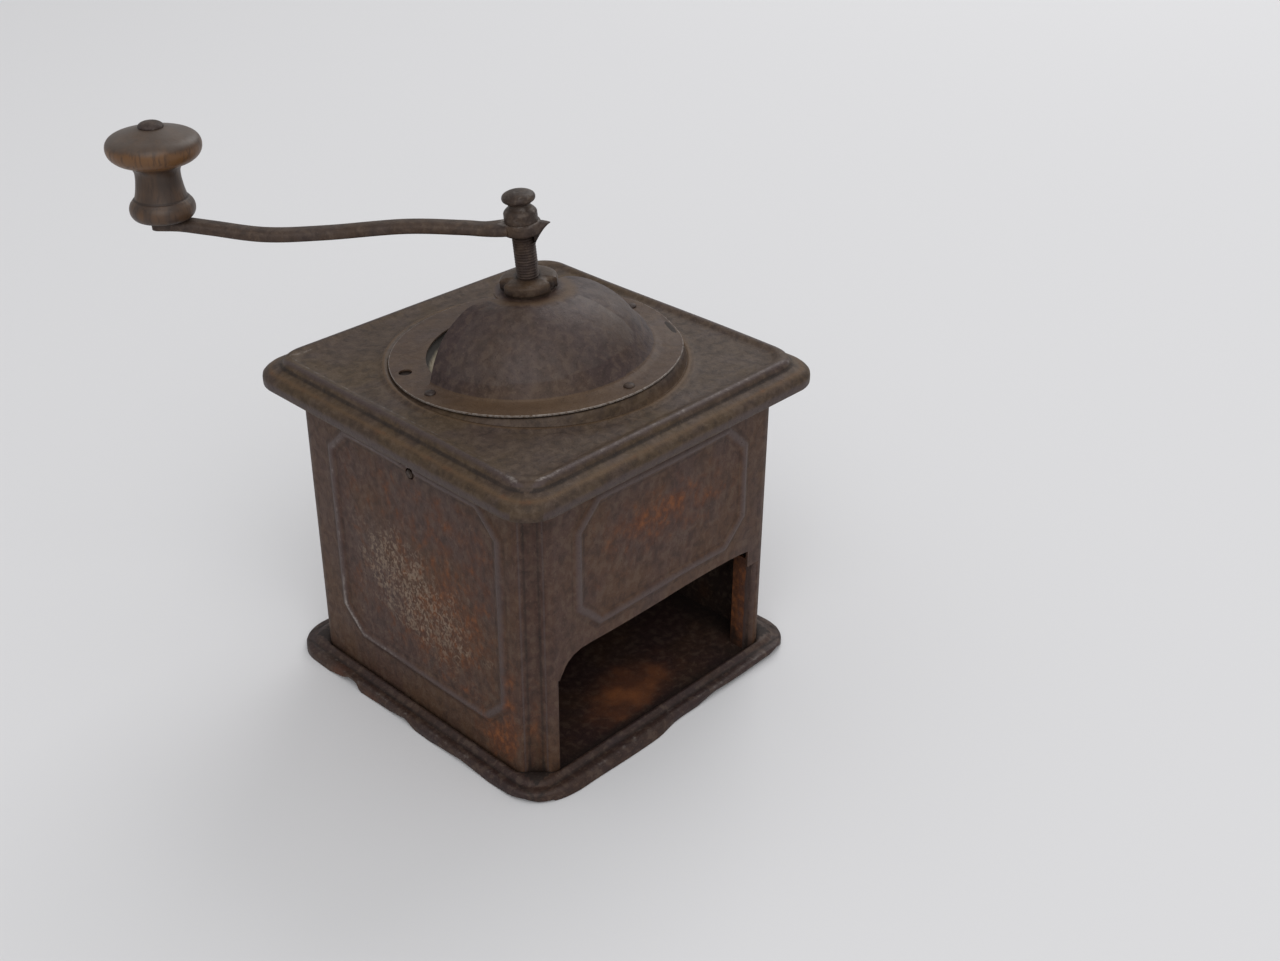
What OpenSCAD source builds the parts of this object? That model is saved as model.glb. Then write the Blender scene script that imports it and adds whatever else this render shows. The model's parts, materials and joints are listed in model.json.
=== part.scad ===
// Table-top box mill of pressed sheet steel with a hand crank.
// Millimetres, +Z up, front (drawer opening) towards -Y. The origin is the middle of the base's underside.

/* [Base] */
// Width and depth of the base over its rolled lip
base_w = 139.2; // [135:0.2:150]
// Radius of the base's corners, seen from above
base_corner_r = 15; // [13:0.5:18]
// Height of the lip that stands on the table
base_lip_h = 3.2; // [2.6:0.1:4.5]
// Height of the bead that hugs the foot of the body
base_bead_h = 6.2; // [5.4:0.1:8]
// Thickness of the base's sheet
base_sheet = 1.2; // [0.8:0.1:1.6]

/* [Body] */
// Width and depth of the box over its flat sides
body_w = 124; // [116:0.5:126]
// Height at which the body ends under the lid
body_top_z = 122.3; // [110:0.5:135]
// Thickness of the body's sheet
body_sheet = 0.9; // [0.6:0.1:1.4]
// Leg of the bevel at each upright corner
corner_leg = 9.4; // [7:0.2:12]
// Radius of the hollow flute down each corner
flute_r = 7; // [5:0.5:9]
// Depth of that flute
flute_depth = 1.2; // [0.6:0.1:1.6]

/* [Pressed panels] */
// Half width of the panels on the left, right and back
side_panel_half_w = 43.5; // [34:0.5:46]
// Lower edge of those panels
side_panel_z0 = 21; // [16:0.5:40]
// Upper edge of those panels
side_panel_z1 = 106; // [80:0.5:108]
// Half width of the front panel, above the drawer opening
front_panel_half_w = 41; // [30:0.5:45]
// Lower edge of the front panel
front_panel_z0 = 58; // [56:0.5:70]
// Upper edge of the front panel
front_panel_z1 = 106; // [90:0.5:108]
// Leg of the bevel at the corners of every panel
panel_bevel = 9.5; // [5:0.5:14]
// Width of the raised bead round a panel
bead_w = 4; // [2.5:0.1:5]
// Height of that bead above the wall
bead_h = 1.1; // [0.5:0.1:1.5]

/* [Drawer opening] */
// Width of the opening
drawer_w = 100; // [80:1:102]
// Height of the opening's upper edge above the table
drawer_top_z = 51.5; // [36:0.5:52]
// Radius of its upper corners
drawer_corner_r = 9; // [5:0.5:14]
// Depth of the strip folded inwards at each side of the opening
jamb_depth = 5; // [3:0.5:12]
// Height at which those strips end
jamb_top_z = 42; // [26:0.5:42]

/* [Lid] */
// Width and depth of the lid over its skirt
lid_w = 143.6; // [140:0.2:156]
// Radius of the lid's corners, seen from above
lid_corner_r = 12.5; // [12:0.5:16]
// Thickness of the lid's sheet
lid_sheet = 1; // [0.7:0.1:1.3]
// How far the skirt hangs below the lid's panel
skirt_drop = 8.7; // [6:0.1:12]
// Radius of the round bead pressed round the hopper
seat_bead_r = 54.2; // [54:0.1:56]

/* [Hopper] */
// How far the hopper and the mill below it lean out of upright, in degrees
top_lean = 5.2; // [0:0.2:5.2]
// Heading of that lean, in degrees from +X towards +Y
lean_heading = 151; // [0:1:359]
// Height of the hopper's flange above the lid's panel, at the mill's axis
seat_rise = 4.8; // [4.8:0.1:8]
// Radius of the hopper's flange
flange_r = 50.8; // [50.2:0.1:51.4]
// Radius of the mouth inside the flange
mouth_r = 38.6; // [37:0.2:40]
// Thickness of the flange and dome
dome_sheet = 0.8; // [0.6:0.1:1]
// Radius of the dome at its foot
dome_r = 43.2; // [42:0.1:43.4]
// Height of the dome above its flange
dome_h = 21; // [16:0.5:24]
// Heading of the fixed dome's left cut edge
dome_start = 171; // [165:1:185]
// How far round the fixed dome reaches, in degrees
dome_span = 184; // [180:1:200]
// Radius of the closed crown round the spindle
crown_r = 12; // [11:0.5:16]
// Distance of the flange's rivets from the axis
dome_rivet_ring_r = 46.2; // [46:0.1:46.6]
// Radius of the rivet heads
dome_rivet_head_r = 2.6; // [2:0.1:2.8]
// Radius of the empty screw hole in the flange
spare_hole_r = 2.3; // [1.2:0.1:2.5]
// Heading of that hole
spare_hole_heading = 152; // [148:1:165]

/* [Shutter] */
// Thickness of the turning shutter
shutter_sheet = 0.7; // [0.5:0.1:0.8]
// Gap between the fixed dome and the shutter
shutter_gap = 0.5; // [0.3:0.1:0.8]
// How much further than the mouth the shutter reaches at each side, in degrees
shutter_lap = 1.5; // [0.5:0.5:3]
// Length of its finger lip, measured inwards from the edge
lip_reach = 7; // [4:0.5:10]

/* [Spindle and nuts] */
// Radius of the spindle's thread
thread_r = 3.9; // [3.2:0.1:4.2]
// Pitch of the thread
thread_pitch = 1; // [0.8:0.1:1.5]
// Depth of the thread
thread_depth = 0.45; // [0.2:0.05:0.6]
// Side of the square that carries the crank
square_side = 5.4; // [4.8:0.1:5.4]
// Radius of the stud under the cap nut
stud_r = 2.6; // [1.8:0.1:2.6]
// Radius of the adjusting nut
nut_r = 10; // [8:0.5:12]
// Height of the adjusting nut
nut_h = 6.6; // [4:0.2:8]
// Number of notches round the adjusting nut
nut_notches = 3; // [3:1:8]
// Radius of those notches
nut_notch_r = 2.6; // [1.5:0.1:3]
// Bare thread between the adjusting nut and the crank
bare_thread = 12.4; // [6:0.2:20]
// Height of the cap nut
cap_nut_h = 10.6; // [8:0.2:14]
// Radius of the cap nut at its head and foot
cap_nut_r = 5.7; // [5:0.1:7]

/* [Crank] */
// Distance from the eye's middle to the knob's axis
crank_reach = 119.7; // [100:0.1:150]
// Heading of the crank, in degrees from +X towards +Y
crank_heading = 133; // [0:1:359]
// Width of the bar
bar_w = 6.2; // [5:0.1:8]
// Thickness of the bar
bar_t = 3.2; // [2.6:0.1:4]
// Radius of the eye on the spindle
eye_r = 6.6; // [5.8:0.1:8]
// Thickness of the eye
eye_t = 4.1; // [3:0.1:6]
// How far the bar sags below its ends
bar_sag = 4; // [0:0.5:6]

/* [Knob] */
// Height of the turned knob
knob_h = 31.5; // [26:0.5:40]
// Radius of its head
knob_head_r = 16; // [12:0.2:20]
// Radius of its neck
knob_neck_r = 6.6; // [5:0.1:9]
// Radius of the bead at its foot
knob_foot_r = 10.8; // [8.8:0.1:13]
// Radius of the pin it turns on
knob_pin_r = 2; // [1.5:0.1:2.5]
// Radius of the pin's domed head
knob_pin_head_r = 3.6; // [3:0.1:4.5]

/* [Mill inside] */
// Depth of the bowl below the flange
bowl_depth = 24; // [18:0.5:26]
// Radius of the bowl's floor
bowl_floor_r = 24; // [23.6:0.2:27]
// Radius of the feed hole in the floor
feed_r = 14; // [12.6:0.2:15]
// Outer radius of the outer burr
burr_ring_r = 18.5; // [17.8:0.1:20]
// Height of the outer burr
burr_ring_h = 24; // [18:0.5:26]
// Wall of the cast case round the outer burr
case_wall = 3; // [2.4:0.1:4]
// Radius of the inner burr at its foot
burr_r = 15.7; // [14.6:0.1:16]
// Radius of the inner burr at the top of its teeth
burr_top_r = 10.7; // [9.5:0.1:11]
// Gap between the two burrs
burr_gap = 0.8; // [0.6:0.1:1.2]
// Number of teeth on each burr
burr_teeth = 20; // [12:1:28]
// Depth of the grooves between the teeth
groove_depth = 0.9; // [0.4:0.1:1.2]
// Radius of the spindle below its thread
shaft_r = 4; // [3.6:0.1:4.4]
// Radius of the spindle's lower journal
journal_r = 3.5; // [2.6:0.1:3.5]
// How far the lower strap hangs below the case
strap_drop = 6.5; // [5:0.1:9]
// Width of the lower strap
strap_w = 12; // [10:0.5:14]

/* [Fits] */
// Radial clearance of a turning fit
running_fit = 0.05; // [0.02:0.01:0.09]
// Play between the faces that carry the spindle
thrust_play = 0.03; // [0.01:0.01:0.08]
// Radial clearance of a piece that is pushed or screwed into its seat
seat_fit = 0.03; // [0.01:0.01:0.05]
// Gap between the body and the base's bead
body_fit = 0.25; // [0.1:0.05:0.4]

/* [Hidden] */
$fn = 64;

// Colours of the worn steel, the bright steel inside and the wood
rust_dark = [0.25, 0.18, 0.15];
rust_warm = [0.31, 0.22, 0.17];
steel_dark = [0.22, 0.19, 0.18];
steel_bright = [0.55, 0.52, 0.48];
iron_grey = [0.30, 0.29, 0.28];
wood_brown = [0.36, 0.22, 0.12];

// A small overlap that lets cuts pass right through a face
cut = 1;

// Base
base_half = base_w / 2;
bead_in = 2.4;          // width of the bead's top, from its inner edge
lip_wall = base_sheet;

// Body
body_half = body_w / 2;
body_z0 = base_sheet;
body_corner_diag = body_half * sqrt(2) - corner_leg / sqrt(2);
top_flange_w = 5;
top_flange_t = body_sheet;
bead_steps = 6;
bead_sunk = body_sheet / 2;

// Lid
lid_half = lid_w / 2;
panel_z = body_top_z + lid_sheet;
skirt_z = panel_z - skirt_drop;
ridge_h = 1;
ridge_in = 11;
shoulder_h = 5;
seat_bead_tube_r = 1.3;
seat_bead_h = 1;

// Side screws and the brackets they hold
screw_y = -4;
screw_z = body_top_z - 18.8;
screw_r = 1.5;
screw_hole_r = 2.2;
bracket_t = 1.5;
bracket_w = 14;
bracket_leg = 12;

// Leaning frame of the hopper and mill: w is measured along the leaning axis from the flange's underside
seat_z = panel_z + seat_rise;
seat_r = 50;
seat_throat_r = 42;
dome_power = 0.625;
dome_steps = 16;
dome_rivet_r = 1.5;
dome_rivets_n = 4;
dome_rivet_heading = -93.5;

// Shutter
shutter_r = dome_r - dome_sheet - shutter_gap;
shutter_lift = 0.3;
shutter_w0 = dome_sheet + shutter_lift;
shutter_h = dome_h - dome_sheet - shutter_lift - shutter_gap;
shutter_hub_r = 12;
shaft_play = 0.2;
hub_t = 0.6;
hub_w0 = dome_w(shutter_hub_r, shutter_r, shutter_h, shutter_w0) - 0.06 - hub_t;
shutter_span = 360 - dome_span + 2 * shutter_lap;
shutter_start = dome_start + (dome_span - shutter_span) / 2;
lip_h = 9;

// Bush in the crown
bush_r = 7;
bush_lip_r = 9;
bush_lip_t = 0.8;
bush_top_w = dome_sheet + dome_h + bush_lip_t;
bush_foot_t = 0.8;
bush_foot_w = hub_w0 - 0.1 - bush_foot_t;
bush_foot_r = 8.6;

// Stack on the spindle, upwards
washer_t = 1;
washer_r = 8;
washer_w0 = bush_top_w + thrust_play;
nut_w0 = washer_w0 + washer_t + thrust_play;
nut_w1 = nut_w0 + nut_h;
eye_w0 = nut_w1 + bare_thread;
eye_w1 = eye_w0 + eye_t;
cap_w1 = eye_w1 + cap_nut_h;
spindle_top_w = cap_w1 - 2.4;
thread_w0 = bush_top_w - 1;
notch_heading = 163.5;

// Bowl, case and burrs, downwards
bowl_sheet = 0.9;
bowl_rim_r = 48.4;
bowl_rim_w = -lid_sheet;
bowl_shoulder_r = 38.5;
bowl_floor_w = -bowl_depth;
case_w1 = bowl_floor_w - bowl_sheet;
case_ledge = 5;
case_r = burr_ring_r + case_wall;
case_flange_t = 3;
burr_ring_w1 = case_w1 - case_ledge;
case_w0 = burr_ring_w1 - burr_ring_h;
burr_w0 = case_w0 + 1;
burr_w1 = burr_ring_w1;
burr_hub_r = 7.6;
burr_hub_h = 7;
burr_lug_r = 10.2;
burr_lugs = 3;
burr_lug_w = 3;
hub_sunk = 1;
burr_pin_r = 1.25;
burr_pin_w = burr_w1 + burr_hub_h - 2.6;
strap_t = 2.4;
strap_w1 = case_w0 - strap_drop + strap_t;
spindle_foot_w = case_w0 - strap_drop - 2.5;
case_screw_ring_r = 20.8;
case_screw_r = 1.4;
case_screw_head_r = 2.5;
case_screws_n = 3;
strap_screw_r = 1.1;
strap_screw_ring_r = burr_ring_r + case_wall / 2;

// Crank, drawn in an upright plane through the eye's middle: d outwards, z up
eye_w = (eye_w0 + eye_w1) / 2;
eye_at = eye_w * sin(top_lean) * [cos(lean_heading), sin(lean_heading)];
eye_z = seat_z + eye_w * cos(top_lean);
bar_end_z = eye_z - 0.2;
bar_root_d = eye_r - 0.8;
bar_tip_d = crank_reach + 5.2;
bar_knots = [
    [bar_root_d, eye_z],
    [0.17 * crank_reach, eye_z + 0.15 * bar_sag],
    [0.33 * crank_reach, eye_z + 0.05 * bar_sag],
    [0.55 * crank_reach, eye_z - 0.72 * bar_sag],
    [0.72 * crank_reach, eye_z - 1.0 * bar_sag],
    [0.87 * crank_reach, eye_z - 0.42 * bar_sag],
    [crank_reach - 6, bar_end_z],
    [bar_tip_d, bar_end_z]
];
knob_z = bar_end_z + bar_t / 2 + 0.3;
knob_pin_head_h = 1.8;
nose_reach = 9.4;
nose_drop = 8;
nose_root = eye_r - 1.6;
nose_gap = 0.15;

// A smooth curve through a list of points, each stretch cut into the given number of steps
function curve_point(a, b, c, d, t) =
    0.5 * (2 * b + (c - a) * t + (2 * a - 5 * b + 4 * c - d) * t * t + (3 * b - a - 3 * c + d) * t * t * t);
function curve(p, steps) = concat(
    [for (i = [0 : len(p) - 2], j = [0 : steps - 1])
        curve_point(p[max(i - 1, 0)], p[i], p[i + 1], p[min(i + 2, len(p) - 1)], j / steps)],
    [p[len(p) - 1]]);
function reversed(p) = [for (i = [len(p) - 1 : -1 : 0]) p[i]];
function along(p, i) =
    let (a = p[max(i - 1, 0)], b = p[min(i + 1, len(p) - 1)]) (b - a) / norm(b - a);
function beside(p, distance) =
    [for (i = [0 : len(p) - 1]) p[i] + distance * [-along(p, i).y, along(p, i).x]];

// Height of a dome at a distance from its axis
function dome_w(r, rim_r, h, w0) = w0 + h * pow(1 - pow(r / rim_r, 2), dome_power);

// Outline of a dome from its rim to its crown: the height falls off as a power of the cosine
function dome_line(r, h, w0) =
    [for (i = [0 : dome_steps]) let (t = 90 * i / dome_steps) [r * cos(t), w0 + h * pow(sin(t), 2 * dome_power)]];

// The upright frame of the crank: its middle is the eye's, its X axis runs towards the knob
module crank_frame() {
    translate([eye_at.x, eye_at.y, 0]) rotate([0, 0, crank_heading]) children();
}

// The frame of everything that leans with the hopper
module leaning() {
    translate([0, 0, seat_z])
        rotate(a = top_lean, v = [-sin(lean_heading), cos(lean_heading), 0])
            children();
}

// A ring of equal children at a distance from the axis
module ring_of(count, distance, first) {
    for (i = [0 : count - 1])
        rotate([0, 0, first + 360 * i / count]) translate([distance, 0, 0]) children();
}

// The empty screw hole through the flange, the seat and the bowl's rim
module spare_hole() {
    rotate([0, 0, spare_hole_heading]) translate([dome_rivet_ring_r, 0, -3]) cylinder(r = spare_hole_r, h = 6);
}

// A pressed frame round a square: the profile is given as [distance from the middle, height]
module pressed_frame(half, corner_r, profile) {
    straight = half - corner_r;
    for (side = [0 : 3]) rotate([0, 0, 90 * side]) {
        translate([0, straight, 0]) rotate([90, 0, 0]) linear_extrude(2 * straight) polygon(profile);
        translate([straight, straight, 0]) rotate_extrude(angle = 90)
            polygon([for (p = profile) [p.x - straight, p.y]]);
    }
}

// Outline of a square with bevelled corners; the bevel lies at the given distance along the diagonal
module bevelled_square(half, diag) {
    leg = 2 * half - diag * sqrt(2);
    polygon([
        [half, half - leg], [half - leg, half], [leg - half, half], [-half, half - leg],
        [-half, leg - half], [leg - half, -half], [half - leg, -half], [half, leg - half]
    ]);
}

// Base: floor, bead round the body's foot and rolled lip
module base_plate() {
    inner = base_half - base_corner_r;
    bead_edge = body_half + body_fit;
    profile = [
        [inner, 0], [bead_edge + base_sheet, 0],
        [bead_edge + base_sheet, base_bead_h - 1.3], [bead_edge + bead_in, base_bead_h - 1.7],
        [bead_edge + bead_in + 0.9, base_lip_h - 0.3], [base_half - lip_wall - 0.8, base_lip_h - 0.7],
        [base_half - lip_wall, base_lip_h - 1.1], [base_half - lip_wall, 0],
        [base_half, 0], [base_half, base_lip_h - 0.6], [base_half - 0.7, base_lip_h + 0.3],
        [base_half - 2, base_lip_h + 0.7], [base_half - 3, base_lip_h + 0.5],
        [bead_edge + bead_in + 1.1, base_lip_h + 1.2], [bead_edge + bead_in + 0.5, base_bead_h - 0.9],
        [bead_edge + bead_in - 0.6, base_bead_h - 0.2], [bead_edge + 1.1, base_bead_h],
        [inner, base_bead_h]
    ];
    color(rust_dark) difference() {
        union() {
            pressed_frame(base_half, base_corner_r, profile);
            translate([-inner, -inner, 0]) cube([2 * inner, 2 * inner, base_sheet]);
        }
        translate([0, 0, base_sheet]) linear_extrude(base_bead_h)
            bevelled_square(bead_edge, body_corner_diag + body_fit);
    }
}

// One straight length of raised bead with mitred ends, lying along +X on the plane z = 0, its inner side towards +Y
module bead_bar(length) {
    mitre = bead_w / 2 * tan(22.5);
    section = [for (i = [0 : bead_steps]) let (t = 180 * i / bead_steps)
        [-bead_w / 2 * cos(t), bead_h * sin(t)]];
    intersection() {
        translate([-mitre, 0, 0]) rotate([90, 0, 90]) linear_extrude(length + 2 * mitre)
            polygon(concat([[-bead_w / 2, -bead_sunk]], section, [[bead_w / 2, -bead_sunk]]));
        translate([0, 0, -bead_sunk - cut]) linear_extrude(bead_h + bead_sunk + 2 * cut) polygon([
            [-mitre, -bead_w / 2], [length + mitre, -bead_w / 2], [length - mitre, bead_w / 2], [mitre, bead_w / 2]
        ]);
    }
}

// The bead round one panel of a wall that faces -Y: an octagon of bars
module panel_bead(half_w, z0, z1) {
    corners = [
        [half_w, z0 + panel_bevel], [half_w, z1 - panel_bevel], [half_w - panel_bevel, z1],
        [panel_bevel - half_w, z1], [-half_w, z1 - panel_bevel], [-half_w, z0 + panel_bevel],
        [panel_bevel - half_w, z0], [half_w - panel_bevel, z0]
    ];
    translate([0, -body_half, 0]) rotate([90, 0, 0]) for (i = [0 : 7]) {
        a = corners[i];
        b = corners[(i + 1) % 8];
        translate([a.x, a.y, 0]) rotate([0, 0, atan2(b.y - a.y, b.x - a.x)]) bead_bar(norm(b - a));
    }
}

// Outline of the drawer opening in the wall, from the floor up
module drawer_outline() {
    translate([-drawer_w / 2, 0]) square([drawer_w, drawer_top_z - drawer_corner_r]);
    translate([drawer_corner_r - drawer_w / 2, 0]) square([drawer_w - 2 * drawer_corner_r, drawer_top_z]);
    for (side = [-1, 1])
        translate([side * (drawer_w / 2 - drawer_corner_r), drawer_top_z - drawer_corner_r])
            circle(r = drawer_corner_r);
}

// Body: four walls from one sheet, fluted corners, raised beads, drawer opening and folded strips
module body_shell() {
    inner_half = body_half - body_sheet;
    inner_diag = body_corner_diag - flute_depth - body_sheet;
    height = body_top_z - body_z0;
    color(rust_warm) {
        difference() {
            union() {
                difference() {
                    translate([0, 0, body_z0]) linear_extrude(height) bevelled_square(body_half, body_corner_diag);
                    translate([0, 0, body_z0 - cut]) linear_extrude(height + 2 * cut)
                        bevelled_square(inner_half, inner_diag);
                    ring_of(4, body_corner_diag - flute_depth + flute_r, 45)
                        translate([0, 0, body_z0 - cut]) cylinder(r = flute_r, h = height + 2 * cut);
                }
                translate([0, 0, body_top_z - top_flange_t]) linear_extrude(top_flange_t) difference() {
                    bevelled_square(inner_half, inner_diag);
                    square(2 * (inner_half - top_flange_w), center = true);
                }
                panel_bead(front_panel_half_w, front_panel_z0, front_panel_z1);
                for (turn = [90, 180, 270])
                    rotate([0, 0, turn]) panel_bead(side_panel_half_w, side_panel_z0, side_panel_z1);
            }
            translate([0, cut - inner_half, body_z0]) rotate([90, 0, 0])
                linear_extrude(body_sheet + 3 * cut) drawer_outline();
            for (side = [-1, 1])
                translate([side * (inner_half - cut), screw_y, screw_z]) rotate([0, side * 90, 0])
                    cylinder(r = screw_hole_r, h = body_sheet + 4 * cut);
        }
        for (side = [0, 1]) mirror([side, 0, 0])
            translate([drawer_w / 2, -body_half + body_sheet / 2, body_z0])
                cube([body_sheet, jamb_depth, jamb_top_z - body_z0]);
    }
}

// Lid: skirt, shoulder, ridge and flat panel, with the askew seat of the hopper in its middle
module lid() {
    inner = lid_half - lid_corner_r;
    outer_line = [
        [lid_half, skirt_z], [lid_half, panel_z - shoulder_h + 0.2], [lid_half - 0.6, panel_z - 3.6],
        [lid_half - 2, panel_z - 2.6], [lid_half - 5, panel_z - 1.6], [lid_half - 5.8, panel_z - 1],
        [lid_half - 6.3, panel_z + 0.4], [lid_half - 7.2, panel_z + ridge_h],
        [lid_half - ridge_in + 1.4, panel_z + ridge_h], [lid_half - ridge_in, panel_z], [inner, panel_z]
    ];
    inner_line = [
        [inner, body_top_z], [lid_half - ridge_in + 0.5, body_top_z],
        [lid_half - ridge_in + 1.8, body_top_z + ridge_h], [lid_half - 7.6, body_top_z + ridge_h],
        [lid_half - 7.3, body_top_z], [lid_half - 6.7, panel_z - 2], [lid_half - 5.6, panel_z - 2.6],
        [lid_half - 2.5, panel_z - 3.6], [lid_half - lid_sheet - 0.3, panel_z - 4.4],
        [lid_half - lid_sheet, panel_z - shoulder_h], [lid_half - lid_sheet, skirt_z]
    ];
    color(rust_dark) difference() {
        union() {
            pressed_frame(lid_half, lid_corner_r, concat(outer_line, inner_line));
            difference() {
                translate([-inner, -inner, body_top_z]) cube([2 * inner, 2 * inner, lid_sheet]);
                leaning() translate([0, 0, -3 * seat_rise]) cylinder(r = seat_r - lid_sheet, h = 6 * seat_rise);
            }
            intersection() {
                translate([-inner, -inner, body_top_z]) cube([2 * inner, 2 * inner, 4 * seat_rise]);
                leaning() difference() {
                    translate([0, 0, -3 * seat_rise]) cylinder(r = seat_r, h = 3 * seat_rise);
                    translate([0, 0, -3 * seat_rise - cut]) cylinder(r = seat_throat_r, h = 3 * seat_rise + 2 * cut);
                    translate([0, 0, -3 * seat_rise - cut])
                        cylinder(r = seat_r - lid_sheet, h = 3 * seat_rise + cut - lid_sheet);
                }
            }
            intersection() {
                translate([0, 0, panel_z + seat_bead_h - seat_bead_tube_r]) rotate_extrude()
                    translate([seat_bead_r, 0]) circle(r = seat_bead_tube_r);
                translate([-inner, -inner, body_top_z + lid_sheet / 2]) cube([2 * inner, 2 * inner, lid_sheet + seat_bead_h]);
            }
        }
        leaning() {
            ring_of(dome_rivets_n, dome_rivet_ring_r, dome_rivet_heading)
                translate([0, 0, -3]) cylinder(r = dome_rivet_r + seat_fit, h = 6);
            spare_hole();
        }
    }
}

// Two angle brackets under the lid that the side screws bite into
module lid_brackets() {
    face = body_half - body_sheet;
    hang = body_top_z - top_flange_t - screw_z + 2.5 * screw_hole_r;
    color(steel_dark) for (side = [0, 1]) mirror([side, 0, 0]) difference() {
        union() {
            translate([face - bracket_t, screw_y - bracket_w / 2, body_top_z - top_flange_t - hang])
                cube([bracket_t, bracket_w, hang]);
            translate([face - bracket_leg, screw_y - bracket_w / 2, body_top_z - top_flange_t - bracket_t])
                cube([bracket_leg, bracket_w, bracket_t]);
        }
        translate([face - bracket_t - cut, screw_y, screw_z]) rotate([0, 90, 0])
            cylinder(r = screw_r + seat_fit, h = bracket_t + 2 * cut);
    }
}

// Two headless screws through the side walls
module side_screws() {
    face = body_half - body_sheet;
    tip = body_half + 0.6;
    color(steel_bright) for (side = [0, 1]) mirror([side, 0, 0])
        translate([face - bracket_t - 3, screw_y, screw_z]) rotate([0, 90, 0]) rotate_extrude()
            polygon([[0, 0], [screw_r - 0.4, 0], [screw_r, 0.4], [screw_r, tip - face + bracket_t + 2.6],
                     [screw_r - 0.5, tip - face + bracket_t + 3], [0, tip - face + bracket_t + 3]]);
}

// Section through a dome sheet, from the radius where it starts to its rim
module dome_section(r, h, w0, sheet, from_r) {
    intersection() {
        polygon(concat(dome_line(r, h, w0), reversed(dome_line(r - sheet, h - sheet, w0))));
        translate([from_r, w0 - cut]) square([r, h + 3 * cut]);
    }
}

// Hopper: flange, fixed front of the dome and closed crown
module hopper_dome() {
    color(rust_warm) leaning() difference() {
        union() {
            difference() {
                cylinder(r = flange_r, h = dome_sheet);
                translate([0, 0, -cut]) cylinder(r = mouth_r, h = dome_sheet + 2 * cut);
            }
            difference() {
                rotate_extrude()
                    dome_section(dome_r, dome_h + dome_sheet / 2, dome_sheet / 2, dome_sheet, bush_r + seat_fit);
                rotate([0, 0, dome_start + dome_span]) rotate_extrude(angle = 360 - dome_span)
                    translate([crown_r, -cut]) square([dome_r, 2 * dome_h]);
            }
        }
        ring_of(dome_rivets_n, dome_rivet_ring_r, dome_rivet_heading)
            translate([0, 0, -cut]) cylinder(r = dome_rivet_r + seat_fit, h = dome_sheet + 2 * cut);
        spare_hole();
    }
}

// Rivets through the flange, the seat and the bowl's rim
module dome_rivets() {
    bottom = bowl_rim_w - bowl_sheet;
    color(steel_dark) leaning() ring_of(dome_rivets_n, dome_rivet_ring_r, dome_rivet_heading) {
        rotate_extrude() polygon([
            [0, bottom - 0.7], [dome_rivet_r + 0.3, bottom - 0.7], [dome_rivet_r + 0.5, bottom],
            [dome_rivet_r, bottom], [dome_rivet_r, dome_sheet], [dome_rivet_head_r, dome_sheet],
            [dome_rivet_head_r - 0.4, dome_sheet + 0.7], [dome_rivet_head_r - 1.3, dome_sheet + 1.2],
            [0, dome_sheet + 1.3]
        ]);
    }
}

// Shutter: a half dome under the fixed one, on a ring round the bush, with a finger lip bent inwards
module hopper_shutter() {
    color(steel_bright) leaning() {
        rotate([0, 0, shutter_start]) rotate_extrude(angle = shutter_span)
            dome_section(shutter_r, shutter_h, shutter_w0, shutter_sheet, bush_r + 2);
        translate([0, 0, hub_w0]) difference() {
            cylinder(r = shutter_hub_r, h = hub_t);
            translate([0, 0, -cut]) cylinder(r = bush_r + shaft_play, h = hub_t + 2 * cut);
        }
        rotate([0, 0, shutter_start + shutter_span]) intersection() {
            translate([shutter_r - lip_reach, -1.5 * shutter_sheet, shutter_w0 + 1])
                cube([lip_reach, shutter_sheet, lip_h]);
            rotate_extrude() polygon(concat([[0, shutter_w0]],
                dome_line(shutter_r - shutter_sheet / 2, shutter_h - shutter_sheet / 2, shutter_w0)));
        }
    }
}

// Bush that carries the spindle in the crown and holds the shutter
module top_bush() {
    color(steel_dark) leaning() difference() {
        union() {
            translate([0, 0, bush_top_w - bush_lip_t]) cylinder(r = bush_lip_r, h = bush_lip_t);
            translate([0, 0, bush_foot_w]) cylinder(r = bush_r, h = bush_top_w - bush_foot_w);
            translate([0, 0, bush_foot_w]) cylinder(r = bush_foot_r, h = bush_foot_t);
        }
        translate([0, 0, bush_foot_w - cut])
            cylinder(r = max(thread_r, shaft_r) + running_fit, h = bush_top_w - bush_foot_w + 2 * cut);
    }
}

// Bowl that hangs under the lid and leads into the mill
module hopper_bowl() {
    color(rust_warm) leaning() difference() {
        rotate_extrude() polygon([
            [bowl_shoulder_r, bowl_rim_w], [bowl_rim_r, bowl_rim_w], [bowl_rim_r, bowl_rim_w - bowl_sheet],
            [bowl_shoulder_r + 0.4, bowl_rim_w - bowl_sheet], [bowl_floor_r, bowl_floor_w - bowl_sheet],
            [feed_r, bowl_floor_w - bowl_sheet], [feed_r, bowl_floor_w], [bowl_floor_r - 0.6, bowl_floor_w]
        ]);
        ring_of(dome_rivets_n, dome_rivet_ring_r, dome_rivet_heading)
            translate([0, 0, bowl_rim_w - bowl_sheet - cut]) cylinder(r = dome_rivet_r + seat_fit, h = bowl_sheet + 2 * cut);
        ring_of(case_screws_n, case_screw_ring_r, 0)
            translate([0, 0, case_w1 - cut]) cylinder(r = case_screw_r + seat_fit, h = bowl_sheet + 2 * cut);
        spare_hole();
    }
}

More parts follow.
